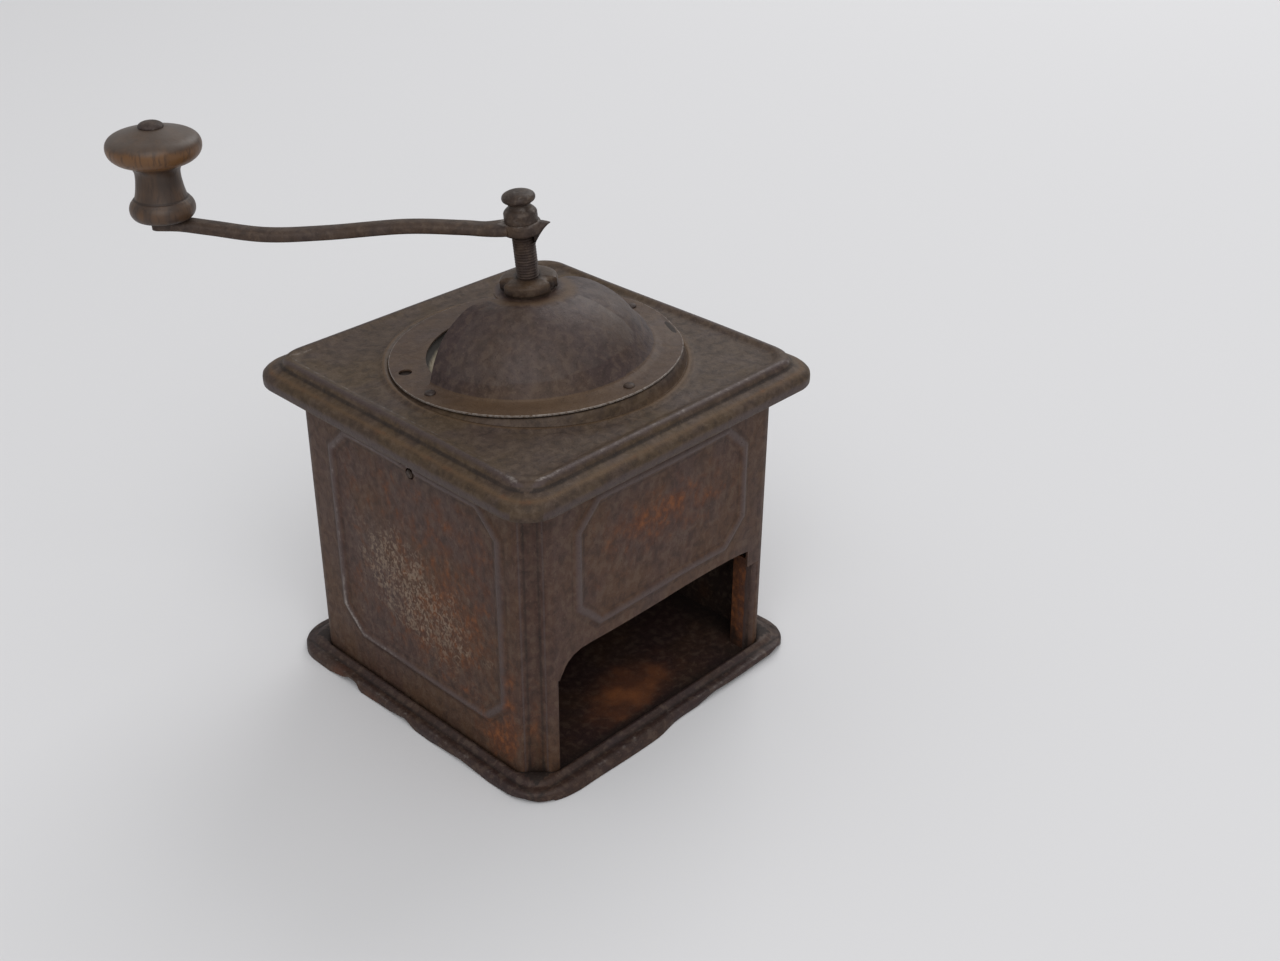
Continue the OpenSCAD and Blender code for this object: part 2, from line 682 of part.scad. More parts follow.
// Cast case that holds the outer burr
module grinding_case() {
    color(iron_grey) leaning() difference() {
        union() {
            translate([0, 0, case_w1 - case_flange_t]) cylinder(r = bowl_floor_r, h = case_flange_t);
            translate([0, 0, case_w0]) cylinder(r = case_r, h = case_w1 - case_w0);
        }
        translate([0, 0, case_w0 - cut]) cylinder(r = feed_r, h = case_w1 - case_w0 + 2 * cut);
        translate([0, 0, case_w0 - cut]) cylinder(r = burr_ring_r + seat_fit, h = burr_ring_h + cut);
        ring_of(case_screws_n, case_screw_ring_r, 0)
            translate([0, 0, case_w1 - 4]) cylinder(r = case_screw_r + seat_fit, h = 4 + cut);
        ring_of(2, strap_screw_ring_r, 90)
            translate([0, 0, case_w0 - cut]) cylinder(r = strap_screw_r + seat_fit, h = 5 + cut);
    }
}

// Three screws that hang the case under the bowl
module case_screws() {
    color(steel_dark) leaning() ring_of(case_screws_n, case_screw_ring_r, 0) {
        translate([0, 0, case_w1 - 3.8]) cylinder(r = case_screw_r, h = 3.8 + bowl_sheet);
        translate([0, 0, bowl_floor_w]) difference() {
            cylinder(r = case_screw_head_r, h = 1.6);
            translate([-case_screw_head_r - cut, -0.35, 0.9]) cube([2 * case_screw_head_r + 2 * cut, 0.7, cut]);
        }
    }
}

// Outer burr: a ring whose cone is cut by slanting grooves
module outer_burr() {
    slope = atan((burr_r - burr_top_r) / (burr_w1 - burr_w0));
    bore_top = burr_top_r + burr_gap;
    bore_foot = bore_top + (burr_r - burr_top_r) * burr_ring_h / (burr_w1 - burr_w0);
    color(iron_grey) leaning() difference() {
        translate([0, 0, case_w0]) cylinder(r = burr_ring_r, h = burr_ring_h);
        translate([0, 0, case_w0]) rotate_extrude()
            polygon([[0, -cut], [bore_foot, -cut], [bore_foot, 0], [bore_top, burr_ring_h],
                     [bore_top, burr_ring_h + cut], [0, burr_ring_h + cut]]);
        for (i = [0 : burr_teeth - 1]) rotate([0, 0, 360 * i / burr_teeth])
            translate([bore_foot, 0, case_w0 - cut]) rotate([-12, -slope, 0])
                translate([-2, -0.55, 0]) cube([2 + groove_depth, 1.1, burr_ring_h * 1.2]);
    }
}

// Inner burr: a cone on the spindle with slanting grooves and three crushing lugs
module inner_burr() {
    slope = atan((burr_r - burr_top_r) / (burr_w1 - burr_w0));
    color(iron_grey) leaning() difference() {
        union() {
            translate([0, 0, burr_w0]) difference() {
                rotate_extrude() polygon([[0, 0], [burr_r, 0], [burr_top_r, burr_w1 - burr_w0], [0, burr_w1 - burr_w0]]);
                for (i = [0 : burr_teeth - 1]) rotate([0, 0, 360 * i / burr_teeth])
                    translate([burr_r, 0, -cut]) rotate([12, -slope, 0])
                        translate([-groove_depth, -0.55, 0]) cube([3, 1.1, (burr_w1 - burr_w0) * 1.2]);
            }
            translate([0, 0, burr_w1 - hub_sunk]) cylinder(r = burr_hub_r, h = burr_hub_h + hub_sunk);
            for (i = [0 : burr_lugs - 1]) rotate([0, 0, 60 + 360 * i / burr_lugs])
                translate([burr_hub_r - 2, -burr_lug_w / 2, burr_w1 - hub_sunk])
                    cube([burr_lug_r - burr_hub_r + 2, burr_lug_w, burr_hub_h - 2 + hub_sunk]);
        }
        translate([0, 0, burr_w0 - cut]) cylinder(r = shaft_r + seat_fit, h = burr_w1 - burr_w0 + burr_hub_h + 2 * cut);
        translate([0, 0, burr_pin_w]) rotate([0, 90, 0])
            cylinder(r = burr_pin_r + seat_fit, h = 2 * burr_lug_r, center = true);
    }
}

// Cross pin that drives the inner burr
module burr_pin() {
    color(steel_dark) leaning() translate([0, 0, burr_pin_w]) rotate([0, 90, 0])
        cylinder(r = burr_pin_r, h = 2 * burr_hub_r, center = true);
}

// Bent strap under the case that guides the spindle's foot
module lower_strap() {
    reach = case_r;
    foot_in = burr_ring_r - 2.2;
    profile = [
        [foot_in, case_w0], [reach, case_w0], [reach, case_w0 - strap_t],
        [foot_in + 1, case_w0 - strap_t], [foot_in - 1.4, strap_w1 - strap_t],
        [1.4 - foot_in, strap_w1 - strap_t], [-foot_in - 1, case_w0 - strap_t],
        [-reach, case_w0 - strap_t], [-reach, case_w0], [-foot_in, case_w0],
        [3 - foot_in, strap_w1], [foot_in - 3, strap_w1]
    ];
    color(steel_dark) leaning() rotate([0, 0, 90]) difference() {
        translate([0, strap_w / 2, 0]) rotate([90, 0, 0]) linear_extrude(strap_w) polygon(profile);
        translate([0, 0, strap_w1 - strap_t - cut]) cylinder(r = journal_r + running_fit, h = strap_t + 2 * cut);
        for (side = [-1, 1]) translate([side * strap_screw_ring_r, 0, case_w0 - strap_t - cut])
            cylinder(r = strap_screw_r + seat_fit, h = strap_t + 2 * cut);
    }
}

// Two screws that hold the strap
module strap_screws() {
    color(steel_bright) leaning() ring_of(2, strap_screw_ring_r, 90) {
        translate([0, 0, case_w0 - strap_t]) cylinder(r = strap_screw_r, h = strap_t + 4.6);
        translate([0, 0, case_w0 - strap_t - 1.2]) cylinder(r = 2 * strap_screw_r, h = 1.2);
    }
}

// Washer between the bush and the adjusting nut
module thrust_washer() {
    color(steel_bright) leaning() translate([0, 0, washer_w0]) difference() {
        cylinder(r = washer_r, h = washer_t);
        translate([0, 0, -cut]) cylinder(r = max(thread_r, shaft_r) + shaft_play, h = washer_t + 2 * cut);
    }
}

// Adjusting nut: round, bevelled and notched
module adjusting_nut() {
    color(rust_dark) leaning() translate([0, 0, nut_w0]) difference() {
        rotate_extrude() polygon([
            [thread_r + running_fit, 0], [nut_r - 0.8, 0], [nut_r, 0.9], [nut_r, nut_h - 1.4],
            [nut_r - 0.9, nut_h - 0.4], [nut_r - 2, nut_h], [thread_r + running_fit, nut_h]
        ]);
        ring_of(nut_notches, nut_r, notch_heading) translate([0, 0, -cut]) cylinder(r = nut_notch_r, h = nut_h + 2 * cut);
    }
}

// Spindle: foot journal, shaft, thread, square and stud
module spindle() {
    thread_len = eye_w0 - 0.2 - thread_w0;
    turns = floor(thread_len / thread_pitch);
    root_r = thread_r - thread_depth;
    teeth = [for (i = [0 : turns - 1]) each [
        [root_r, thread_w0 + (i + 0.05) * thread_pitch], [thread_r, thread_w0 + (i + 0.4) * thread_pitch],
        [thread_r, thread_w0 + (i + 0.6) * thread_pitch], [root_r, thread_w0 + (i + 0.95) * thread_pitch]
    ]];
    color(steel_dark) leaning() difference() {
        union() {
            rotate_extrude() polygon(concat(
                [[0, spindle_foot_w], [journal_r - 0.6, spindle_foot_w], [journal_r, spindle_foot_w + 0.6],
                 [journal_r, burr_w0], [shaft_r, burr_w0], [shaft_r, thread_w0 - 0.4], [root_r, thread_w0 - 0.2]],
                teeth,
                [[root_r, eye_w0], [0, eye_w0]]));
            translate([0, 0, eye_w0 - cut]) rotate([0, 0, crank_heading])
                linear_extrude(eye_t + cut - 0.1) square(square_side, center = true);
            translate([0, 0, eye_w1 - cut]) cylinder(r = stud_r, h = spindle_top_w - eye_w1 + cut);
        }
        translate([0, 0, burr_pin_w]) rotate([0, 90, 0])
            cylinder(r = burr_pin_r + seat_fit, h = 3 * shaft_r, center = true);
    }
}

// Crank: eye with a torn nose and a bent flat bar
module crank_arm() {
    line = curve(bar_knots, 6);
    nose_in = thread_r + nose_gap;
    color(rust_dark) difference() {
        union() {
            leaning() rotate([0, 0, crank_heading]) {
                translate([0, 0, eye_w0]) cylinder(r = eye_r, h = eye_t);
                translate([0, bar_w / 4, 0]) rotate([90, 0, 0]) linear_extrude(bar_w / 2) polygon([
                    [-nose_root, eye_w1 - 0.3], [-nose_reach, eye_w1 - 0.9], [-nose_in - 0.5, eye_w1 - nose_drop],
                    [-nose_in, eye_w1 - nose_drop], [-nose_in, eye_w0 + 1], [-nose_root, eye_w0 + 1]
                ]);
            }
            crank_frame() translate([0, bar_w / 2, 0]) rotate([90, 0, 0]) linear_extrude(bar_w)
                polygon(concat(beside(line, bar_t / 2), reversed(beside(line, -bar_t / 2))));
        }
        leaning() translate([0, 0, eye_w0 - cut]) rotate([0, 0, crank_heading]) linear_extrude(eye_t + 2 * cut)
            square(square_side + 2 * running_fit, center = true);
        crank_frame() translate([crank_reach, 0, bar_end_z - bar_t])
            cylinder(r = knob_pin_r + seat_fit, h = 2 * bar_t);
    }
}

// Cap nut: turned head, neck and foot
module cap_nut() {
    r = cap_nut_r;
    h = cap_nut_h;
    knots = [
        [r, 0], [r, 0.18 * h], [r - 0.3, 0.27 * h], [0.7 * r, 0.38 * h], [0.66 * r, 0.5 * h],
        [0.7 * r, 0.6 * h], [0.95 * r, 0.68 * h], [r + 0.1, 0.78 * h], [0.9 * r, 0.9 * h], [0.5 * r, 0.98 * h], [0, h]
    ];
    color(rust_dark) leaning() translate([0, 0, eye_w1]) difference() {
        rotate_extrude() polygon(concat([[0, 0]], curve(knots, 3)));
        translate([0, 0, -cut]) cylinder(r = stud_r + seat_fit, h = spindle_top_w - eye_w1 + cut + 0.3);
    }
}

// Pin through the knob, riveted under the crank's pad
module knob_pin() {
    top = knob_z + knob_h;
    foot = bar_end_z - bar_t / 2;
    color(steel_dark) crank_frame() translate([crank_reach, 0, 0]) {
        rotate_extrude() polygon([
            [0, foot - 0.9], [knob_pin_r + 0.3, foot - 0.9], [knob_pin_r + 0.9, foot], [knob_pin_r, foot],
            [knob_pin_r, top + 0.1], [knob_pin_head_r, top + 0.1], [knob_pin_head_r - 0.3, top + 0.7],
            [0.65 * knob_pin_head_r, top + 0.8 * knob_pin_head_h], [0, top + knob_pin_head_h]
        ]);
    }
}

// Knob: turned head, neck and foot bead
module knob() {
    h = knob_h;
    knots = [
        [0.8 * knob_foot_r, 0], [0.97 * knob_foot_r, 0.05 * h], [knob_foot_r, 0.11 * h], [0.9 * knob_foot_r, 0.19 * h],
        [0.8 * knob_foot_r, 0.235 * h], [1.08 * knob_neck_r, 0.32 * h], [knob_neck_r, 0.42 * h],
        [1.03 * knob_neck_r, 0.5 * h], [1.3 * knob_neck_r, 0.56 * h], [0.78 * knob_head_r, 0.63 * h],
        [0.96 * knob_head_r, 0.71 * h], [knob_head_r, 0.79 * h], [0.94 * knob_head_r, 0.88 * h],
        [0.74 * knob_head_r, 0.955 * h], [0.45 * knob_head_r, 0.99 * h], [knob_pin_r, h]
    ];
    color(wood_brown) crank_frame() translate([crank_reach, 0, knob_z]) difference() {
        rotate_extrude() polygon(concat([[0, 0]], curve(knots, 4), [[0, h]]));
        translate([0, 0, -cut]) cylinder(r = knob_pin_r + running_fit, h = h + 2 * cut);
    }
}

base_plate();
body_shell();
lid();
lid_brackets();
side_screws();
hopper_dome();
dome_rivets();
hopper_shutter();
hopper_bowl();
top_bush();
grinding_case();
outer_burr();
case_screws();
lower_strap();
strap_screws();
thrust_washer();
adjusting_nut();
spindle();
inner_burr();
burr_pin();
crank_arm();
cap_nut();
knob_pin();
knob();
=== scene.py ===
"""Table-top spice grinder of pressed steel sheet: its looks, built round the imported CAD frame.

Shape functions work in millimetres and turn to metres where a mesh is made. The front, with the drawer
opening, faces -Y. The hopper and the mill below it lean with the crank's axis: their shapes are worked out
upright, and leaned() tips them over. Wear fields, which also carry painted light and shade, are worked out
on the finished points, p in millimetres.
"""

import json

import bmesh
import bpy
import numpy as np
from bpy.props import FloatProperty, FloatVectorProperty, PointerProperty
from mathutils import Matrix, Vector


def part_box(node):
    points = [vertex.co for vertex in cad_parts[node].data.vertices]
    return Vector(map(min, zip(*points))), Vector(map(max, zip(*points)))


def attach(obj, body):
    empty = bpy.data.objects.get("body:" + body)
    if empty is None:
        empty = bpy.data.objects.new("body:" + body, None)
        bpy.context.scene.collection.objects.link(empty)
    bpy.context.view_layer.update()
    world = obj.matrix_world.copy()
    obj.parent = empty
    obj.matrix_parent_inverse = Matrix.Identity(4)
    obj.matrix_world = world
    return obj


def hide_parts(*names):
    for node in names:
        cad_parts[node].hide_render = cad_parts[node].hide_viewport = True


bl_info = {
    "name": "Spice grinder",
    "version": (1, 0, 0),
    "blender": (4, 5, 0),
    "location": "3D View > Sidebar > Grinder",
    "description": "Builds the worn sheet-steel spice grinder round its packed frame",
    "category": "Object",
}

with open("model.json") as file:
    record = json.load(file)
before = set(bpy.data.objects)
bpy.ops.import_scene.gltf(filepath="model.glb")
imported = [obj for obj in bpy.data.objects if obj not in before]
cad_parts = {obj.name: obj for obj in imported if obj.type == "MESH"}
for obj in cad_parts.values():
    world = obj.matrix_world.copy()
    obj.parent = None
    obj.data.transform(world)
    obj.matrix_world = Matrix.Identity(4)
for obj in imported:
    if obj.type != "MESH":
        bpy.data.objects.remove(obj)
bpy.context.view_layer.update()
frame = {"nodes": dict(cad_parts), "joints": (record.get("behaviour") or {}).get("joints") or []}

MM = 0.001
TURN = 2 * np.pi
MERGE = 2e-6  # points closer than this are one point, in metres
# Fields on each piece's points. Besides real wear, the golden and rubbed-steel fields also paint highlights,
# the dark dirt field also paints shade, and the crest field also paints highlights and the corners' relief
# shading.
WEAR_AND_LIGHT_FIELDS = ("rub_and_highlight", "grime_and_shade", "rust", "pale", "gold_and_highlight", "cool")


def joint(name):
    """The record of one joint of the frame."""
    return next(j for j in frame["joints"] if j["name"] == name)


LEAN_AXIS = np.array(joint("crank_turn")["axis"])
SEAT = np.array(joint("crank_turn")["pos_m"]) / MM
KNOB_AT = np.array(joint("knob_spin")["pos_m"]) / MM


def lean_matrix(axis):
    """The smallest turn that carries +Z onto the axis: I + [v] + [v]^2 / (1 + cos), v = Z x axis."""
    cross = np.array([[0, 0, axis[0]], [0, 0, axis[1]], [-axis[0], -axis[1], 0]])
    return np.eye(3) + cross + cross @ cross / (1 + axis[2])


LEAN = lean_matrix(LEAN_AXIS)
# Middle and normal of the flange's top, as its edge stands in the photo
FLANGE_AT = np.array([-0.2, 0.2, 127.2])
FLANGE_NORMAL = np.array([-0.0307, 0.0478, 0.9984])
TILT = lean_matrix(FLANGE_NORMAL)


def leaned(points):
    """Points of the leaning frame in the upright one. Its w runs along the crank's axis, from where that
    crosses the seat."""
    return points @ LEAN.T + SEAT


def in_lean(points):
    """Points of the upright frame in the leaning frame."""
    return (points - SEAT) @ LEAN


def seated(points):
    """Points of the flange's frame, h above the flange's top, in the upright frame. The flange stands askew
    on the lid, and the crown above it is dented, so the two leaning frames differ by a few degrees."""
    return points @ TILT.T + FLANGE_AT


def in_seat(points):
    """Points of the upright frame in the flange's frame."""
    return (points - FLANGE_AT) @ TILT


def smoothstep(value, low=0.0, high=1.0):
    """0 below low, 1 above high, 3t^2 - 2t^3 between."""
    t = np.clip((value - low) / (high - low), 0.0, 1.0)
    return t * t * (3.0 - 2.0 * t)


def swell(distance, reach):
    """A round-topped bump: 1 at distance 0, a squared cosine down to 0 at reach."""
    return np.cos(np.pi / 2 * np.clip(distance / reach, -1.0, 1.0)) ** 2


def blob(u, v, at, reach):
    """A soft spot: e to the minus squared distance from its middle, measured in reaches."""
    return np.exp(-(((u - at[0]) / reach[0]) ** 2) - ((v - at[1]) / reach[1]) ** 2)


def spline(knots, count):
    """A smooth line through the knots: a cubic between neighbours whose slope at a knot is half the chord
    from the knot before to the one after."""
    knots = np.asarray(knots, float)
    ends = np.concatenate([knots[:1], knots, knots[-1:]])
    along = np.linspace(0, len(knots) - 1, count)
    first = np.minimum(along.astype(int), len(knots) - 2)
    t = (along - first)[:, None]
    a, b, c, d = (ends[first + k] for k in range(4))
    return 0.5 * (2 * b + (c - a) * t + (2 * a - 5 * b + 4 * c - d) * t**2 + (3 * b - a - 3 * c + d) * t**3)


def rounded_square(angle, half, corner):
    """Distance from the middle to a rounded square: half / cos on its sides, and where the ray meets the
    corner's circle, the larger root of the law of cosines."""
    fold = np.abs((angle + np.pi / 4) % (np.pi / 2) - np.pi / 4)
    inner = half - corner
    root = np.maximum(corner**2 - inner**2 * (1 - np.sin(2 * fold)), 0)
    arc = inner * (np.cos(fold) + np.sin(fold)) + np.sqrt(root)
    return np.where(half * np.tan(fold) <= inner, half / np.cos(fold), arc)


def bevelled_square(angle, half, diagonal):
    """Distance from the middle to a bevelled square: the nearer of its side and its bevel along the ray."""
    fold = np.abs((angle + np.pi / 4) % (np.pi / 2) - np.pi / 4)
    return np.minimum(half / np.cos(fold), diagonal / np.cos(np.pi / 4 - fold))


def square_angles(count, crowd=0.15):
    """Headings once round, from -Y on, that stand closer together near the four corners."""
    u = np.arange(count) / count
    return TURN * u + crowd * np.sin(4 * TURN * u)


def loft(angle, rows):
    """Closed rows round the upright axis: each row is (distance from the axis at each heading, height)."""
    made = [np.stack(np.broadcast_arrays(r * np.cos(angle), r * np.sin(angle), z), axis=-1) for r, z in rows]
    return np.stack(made)


def turned(profile, columns=96):
    """A profile of (radius, height) carried once round +Z: (r cos a, r sin a, h)."""
    angle = np.linspace(0, TURN, columns, endpoint=False)
    return loft(angle, [(np.full(columns, r), h) for r, h in profile])


class Sheet:
    """One grid of points, rows x columns x 3, with the cells that are kept; a closed one joins its ends."""

    def __init__(self, points, closed=False):
        self.points = np.asarray(points, float)
        self.closed = closed
        rows, columns = self.points.shape[:2]
        self.keep = np.ones((rows - 1, columns if closed else columns - 1), bool)

    def quads(self, start):
        """Corner numbers of the kept cells, counter-clockwise seen from outside."""
        index = start + np.arange(self.points.shape[0] * self.points.shape[1]).reshape(self.points.shape[:2])
        if self.closed:
            index = np.concatenate([index, index[:, :1]], axis=1)
        corners = [index[:-1, :-1], index[:-1, 1:], index[1:, 1:], index[1:, :-1]]
        return np.stack(corners, axis=-1)[self.keep]

    def punch(self, rows, columns, centre, normal, radius, rings=4):
        """Blanks a block of cells and returns the sheet that fills it round a hole: rings that pass in a
        straight line from the block's edge to the hole's circle."""
        (low, high), (left, right) = rows, columns
        self.keep[low:high, left:right] = False
        grid = self.points
        loop = np.concatenate(
            [
                grid[low, left:right],
                grid[low:high, right],
                grid[high, right:left:-1],
                grid[high:low:-1, left],
            ]
        )
        spoke = loop - centre
        spoke -= (spoke @ normal)[:, None] * normal
        circle = centre + radius * spoke / np.linalg.norm(spoke, axis=1, keepdims=True)
        share = np.linspace(0, 1, rings)[:, None, None]
        return Sheet((1 - share) * loop + share * circle, closed=True)


def make_piece(name, sheets, body, nodes, materials, wear=None, wall=0.0, edge=0.0):
    """Joins the sheets into one mesh, merges their seams and poles, writes the wear fields, which also carry
    painted light and shade, on its points, gives it a wall on the inside and soft edges, and puts it on its
    body in place of its CAD nodes."""
    start, points, faces = 0, [], []
    for sheet in sheets:
        faces.append(sheet.quads(start))
        points.append(sheet.points.reshape(-1, 3))
        start += len(points[-1])
    mesh = bpy.data.meshes.new(name)
    mesh.from_pydata((np.concatenate(points) * MM).tolist(), [], np.concatenate(faces).tolist())
    work = bmesh.new()
    work.from_mesh(mesh)
    bmesh.ops.remove_doubles(work, verts=work.verts, dist=MERGE)
    bmesh.ops.delete(work, geom=[v for v in work.verts if not v.link_faces], context="VERTS")
    work.to_mesh(mesh)
    work.free()
    mesh.validate()
    mesh.shade_smooth()
    place = np.empty(len(mesh.vertices) * 3)
    mesh.vertices.foreach_get("co", place)
    place = place.reshape(-1, 3) / MM
    fields = wear(place) if wear else {}
    for field in WEAR_AND_LIGHT_FIELDS:
        layer = mesh.attributes.new(field, "FLOAT", "POINT")
        values = np.broadcast_to(np.clip(fields.get(field, 0.0), 0, 1), len(place))
        layer.data.foreach_set("value", np.ascontiguousarray(values, np.float32))
    for material in materials:
        mesh.materials.append(material)
    piece = bpy.data.objects.new(name, mesh)
    bpy.context.scene.collection.objects.link(piece)
    if wall:
        solid = piece.modifiers.new("wall", "SOLIDIFY")
        solid.thickness = wall * MM
        solid.offset = -1
        solid.use_even_offset = False
        solid.material_offset = len(materials) - 1
    if edge:
        soft = piece.modifiers.new("edge", "BEVEL")
        soft.width = edge * MM
        soft.segments = 2
        soft.limit_method = "ANGLE"
        soft.angle_limit = np.radians(60)
        soft.harden_normals = True
    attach(piece, body)
    if nodes:
        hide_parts(*nodes)
    return piece


# Finishes


def linear(code):
    """Linear colour of an sRGB hex code: the sRGB curve undone on each channel."""
    srgb = np.array([int(code[i : i + 2], 16) for i in (1, 3, 5)]) / 255
    value = np.where(srgb <= 0.04045, srgb / 12.92, ((srgb + 0.055) / 1.055) ** 2.4)
    return (*value.tolist(), 1.0)


def shade(colour):
    """A linear colour, from an sRGB hex code or from one of the panel's colours, which are linear."""
    return linear(colour) if isinstance(colour, str) else tuple(colour)


def add(tree, kind, inputs=(), **settings):
    """Adds one node; an input is given a socket that feeds it or the value that it keeps."""
    node = tree.nodes.new(kind)
    for name, value in settings.items():
        setattr(node, name, value)
    for key, value in dict(inputs).items():
        if isinstance(value, bpy.types.NodeSocket):
            tree.links.new(value, node.inputs[key])
        else:
            node.inputs[key].default_value = value
    return node


class Finish:
    """A surface built up in layers, the way it aged. Each layer has a mask, a colour, a roughness and a share
    of bare metal."""

    def __init__(self, name, colour, roughness, metallic=0.0, specular=0.5, stretch=(1, 1, 1)):
        self.material = bpy.data.materials.new(name)
        self.material.use_nodes = True
        self.tree = self.material.node_tree
        self.shader = self.tree.nodes["Principled BSDF"]
        self.shader.inputs["Specular IOR Level"].default_value = specular
        coordinates = add(self.tree, "ShaderNodeTexCoord")
        scaled = {"Vector": coordinates.outputs["Object"], "Scale": stretch}
        self.place = add(self.tree, "ShaderNodeMapping", scaled).outputs["Vector"]
        self.now = {
            "Base Color": add(self.tree, "ShaderNodeRGB").outputs["Color"],
            "Roughness": add(self.tree, "ShaderNodeValue").outputs["Value"],
            "Metallic": add(self.tree, "ShaderNodeValue").outputs["Value"],
        }
        self.now["Base Color"].default_value = shade(colour)
        self.now["Roughness"].default_value = roughness
        self.now["Metallic"].default_value = metallic

    def noise(self, size, detail=3.0, distortion=0.0, seed=0.0):
        """Noise with patches of about this size in mm."""
        shift = add(self.tree, "ShaderNodeVectorMath", {0: self.place, 1: (seed, 0.37 * seed, 0.71 * seed)})
        inputs = {"Vector": shift.outputs["Vector"], "Scale": 1 / (size * MM), "Detail": detail}
        inputs["Distortion"] = distortion
        return add(self.tree, "ShaderNodeTexNoise", inputs).outputs["Fac"]

    def cut(self, value, low, high):
        """0 below low, 1 above high, a soft step between."""
        inputs = {"Value": value, "From Min": low, "From Max": high}
        return add(self.tree, "ShaderNodeMapRange", inputs, interpolation_type="SMOOTHSTEP").outputs["Result"]

    def cloud(self, size, low=0.4, high=0.6, detail=3.0, distortion=0.0, seed=0.0):
        """A mask of soft patches: noise, cut between two levels."""
        return self.cut(self.noise(size, detail, distortion, seed), low, high)

    def field(self, name):
        """A wear field of the mesh."""
        return add(self.tree, "ShaderNodeAttribute", attribute_name=name).outputs["Fac"]

    def ragged(self, name, size, low=0.25, high=0.9, amount=1.0, detail=6.0, seed=0.0):
        """A wear field whose edge noise breaks up: field + amount * (noise - 1/2), cut between two levels."""
        noise = self.noise(size, detail, 0.3, seed)
        lifted = {0: noise, 1: amount, 2: self.sum(self.field(name), -amount / 2)}
        value = add(self.tree, "ShaderNodeMath", lifted, operation="MULTIPLY_ADD").outputs["Value"]
        return self.cut(value, low, high)

    def sum(self, one, other):
        """Two masks, or a mask and a number, added."""
        return add(self.tree, "ShaderNodeMath", {0: one, 1: other}, operation="ADD").outputs["Value"]

    def both(self, one, other):
        """Two masks, or a mask and a number, multiplied."""
        return add(self.tree, "ShaderNodeMath", {0: one, 1: other}, operation="MULTIPLY").outputs["Value"]

    def layer(self, mask, share, colour, roughness, metallic=None):
        """Lays a colour, a roughness and a bare-metal share over what is there, where the mask says."""
        mask = self.both(mask, share)
        # A Mix node's colours are its inputs 6 and 7 and its output 2, its numbers inputs 2 and 3 and output 0
        over = {0: mask, 6: self.now["Base Color"], 7: shade(colour)}
        self.now["Base Color"] = add(self.tree, "ShaderNodeMix", over, data_type="RGBA").outputs[2]
        for name, value in (("Roughness", roughness), ("Metallic", metallic)):
            if value is not None:
                over = {0: mask, 2: self.now[name], 3: value}
                self.now[name] = add(self.tree, "ShaderNodeMix", over, data_type="FLOAT").outputs[0]

    def finish(self, heights):
        """Feeds the shader; each height is (mask, millimetres from its low to its high parts)."""
        for name, value in self.now.items():
            self.tree.links.new(value, self.shader.inputs[name])
        normal = None
        for mask, rise in heights:
            inputs = {"Height": mask, "Distance": rise * MM, "Strength": 1.0}
            if normal is not None:
                inputs["Normal"] = normal
            normal = add(self.tree, "ShaderNodeBump", inputs).outputs["Normal"]
        self.tree.links.new(normal, self.shader.inputs["Normal"])
        return self.material


# Colours of what lies on old steel or shows through it. The darkest also paints shade, and the bare steel and
# golden ones also paint highlights
GRIME_AND_SHADE = "#1b1310"
DUST = "#6a5a4c"
BLOOM = "#9a8876"
BARE_AND_HIGHLIGHT = "#a9a19b"
GOLD_AND_HIGHLIGHT = "#5a4530"


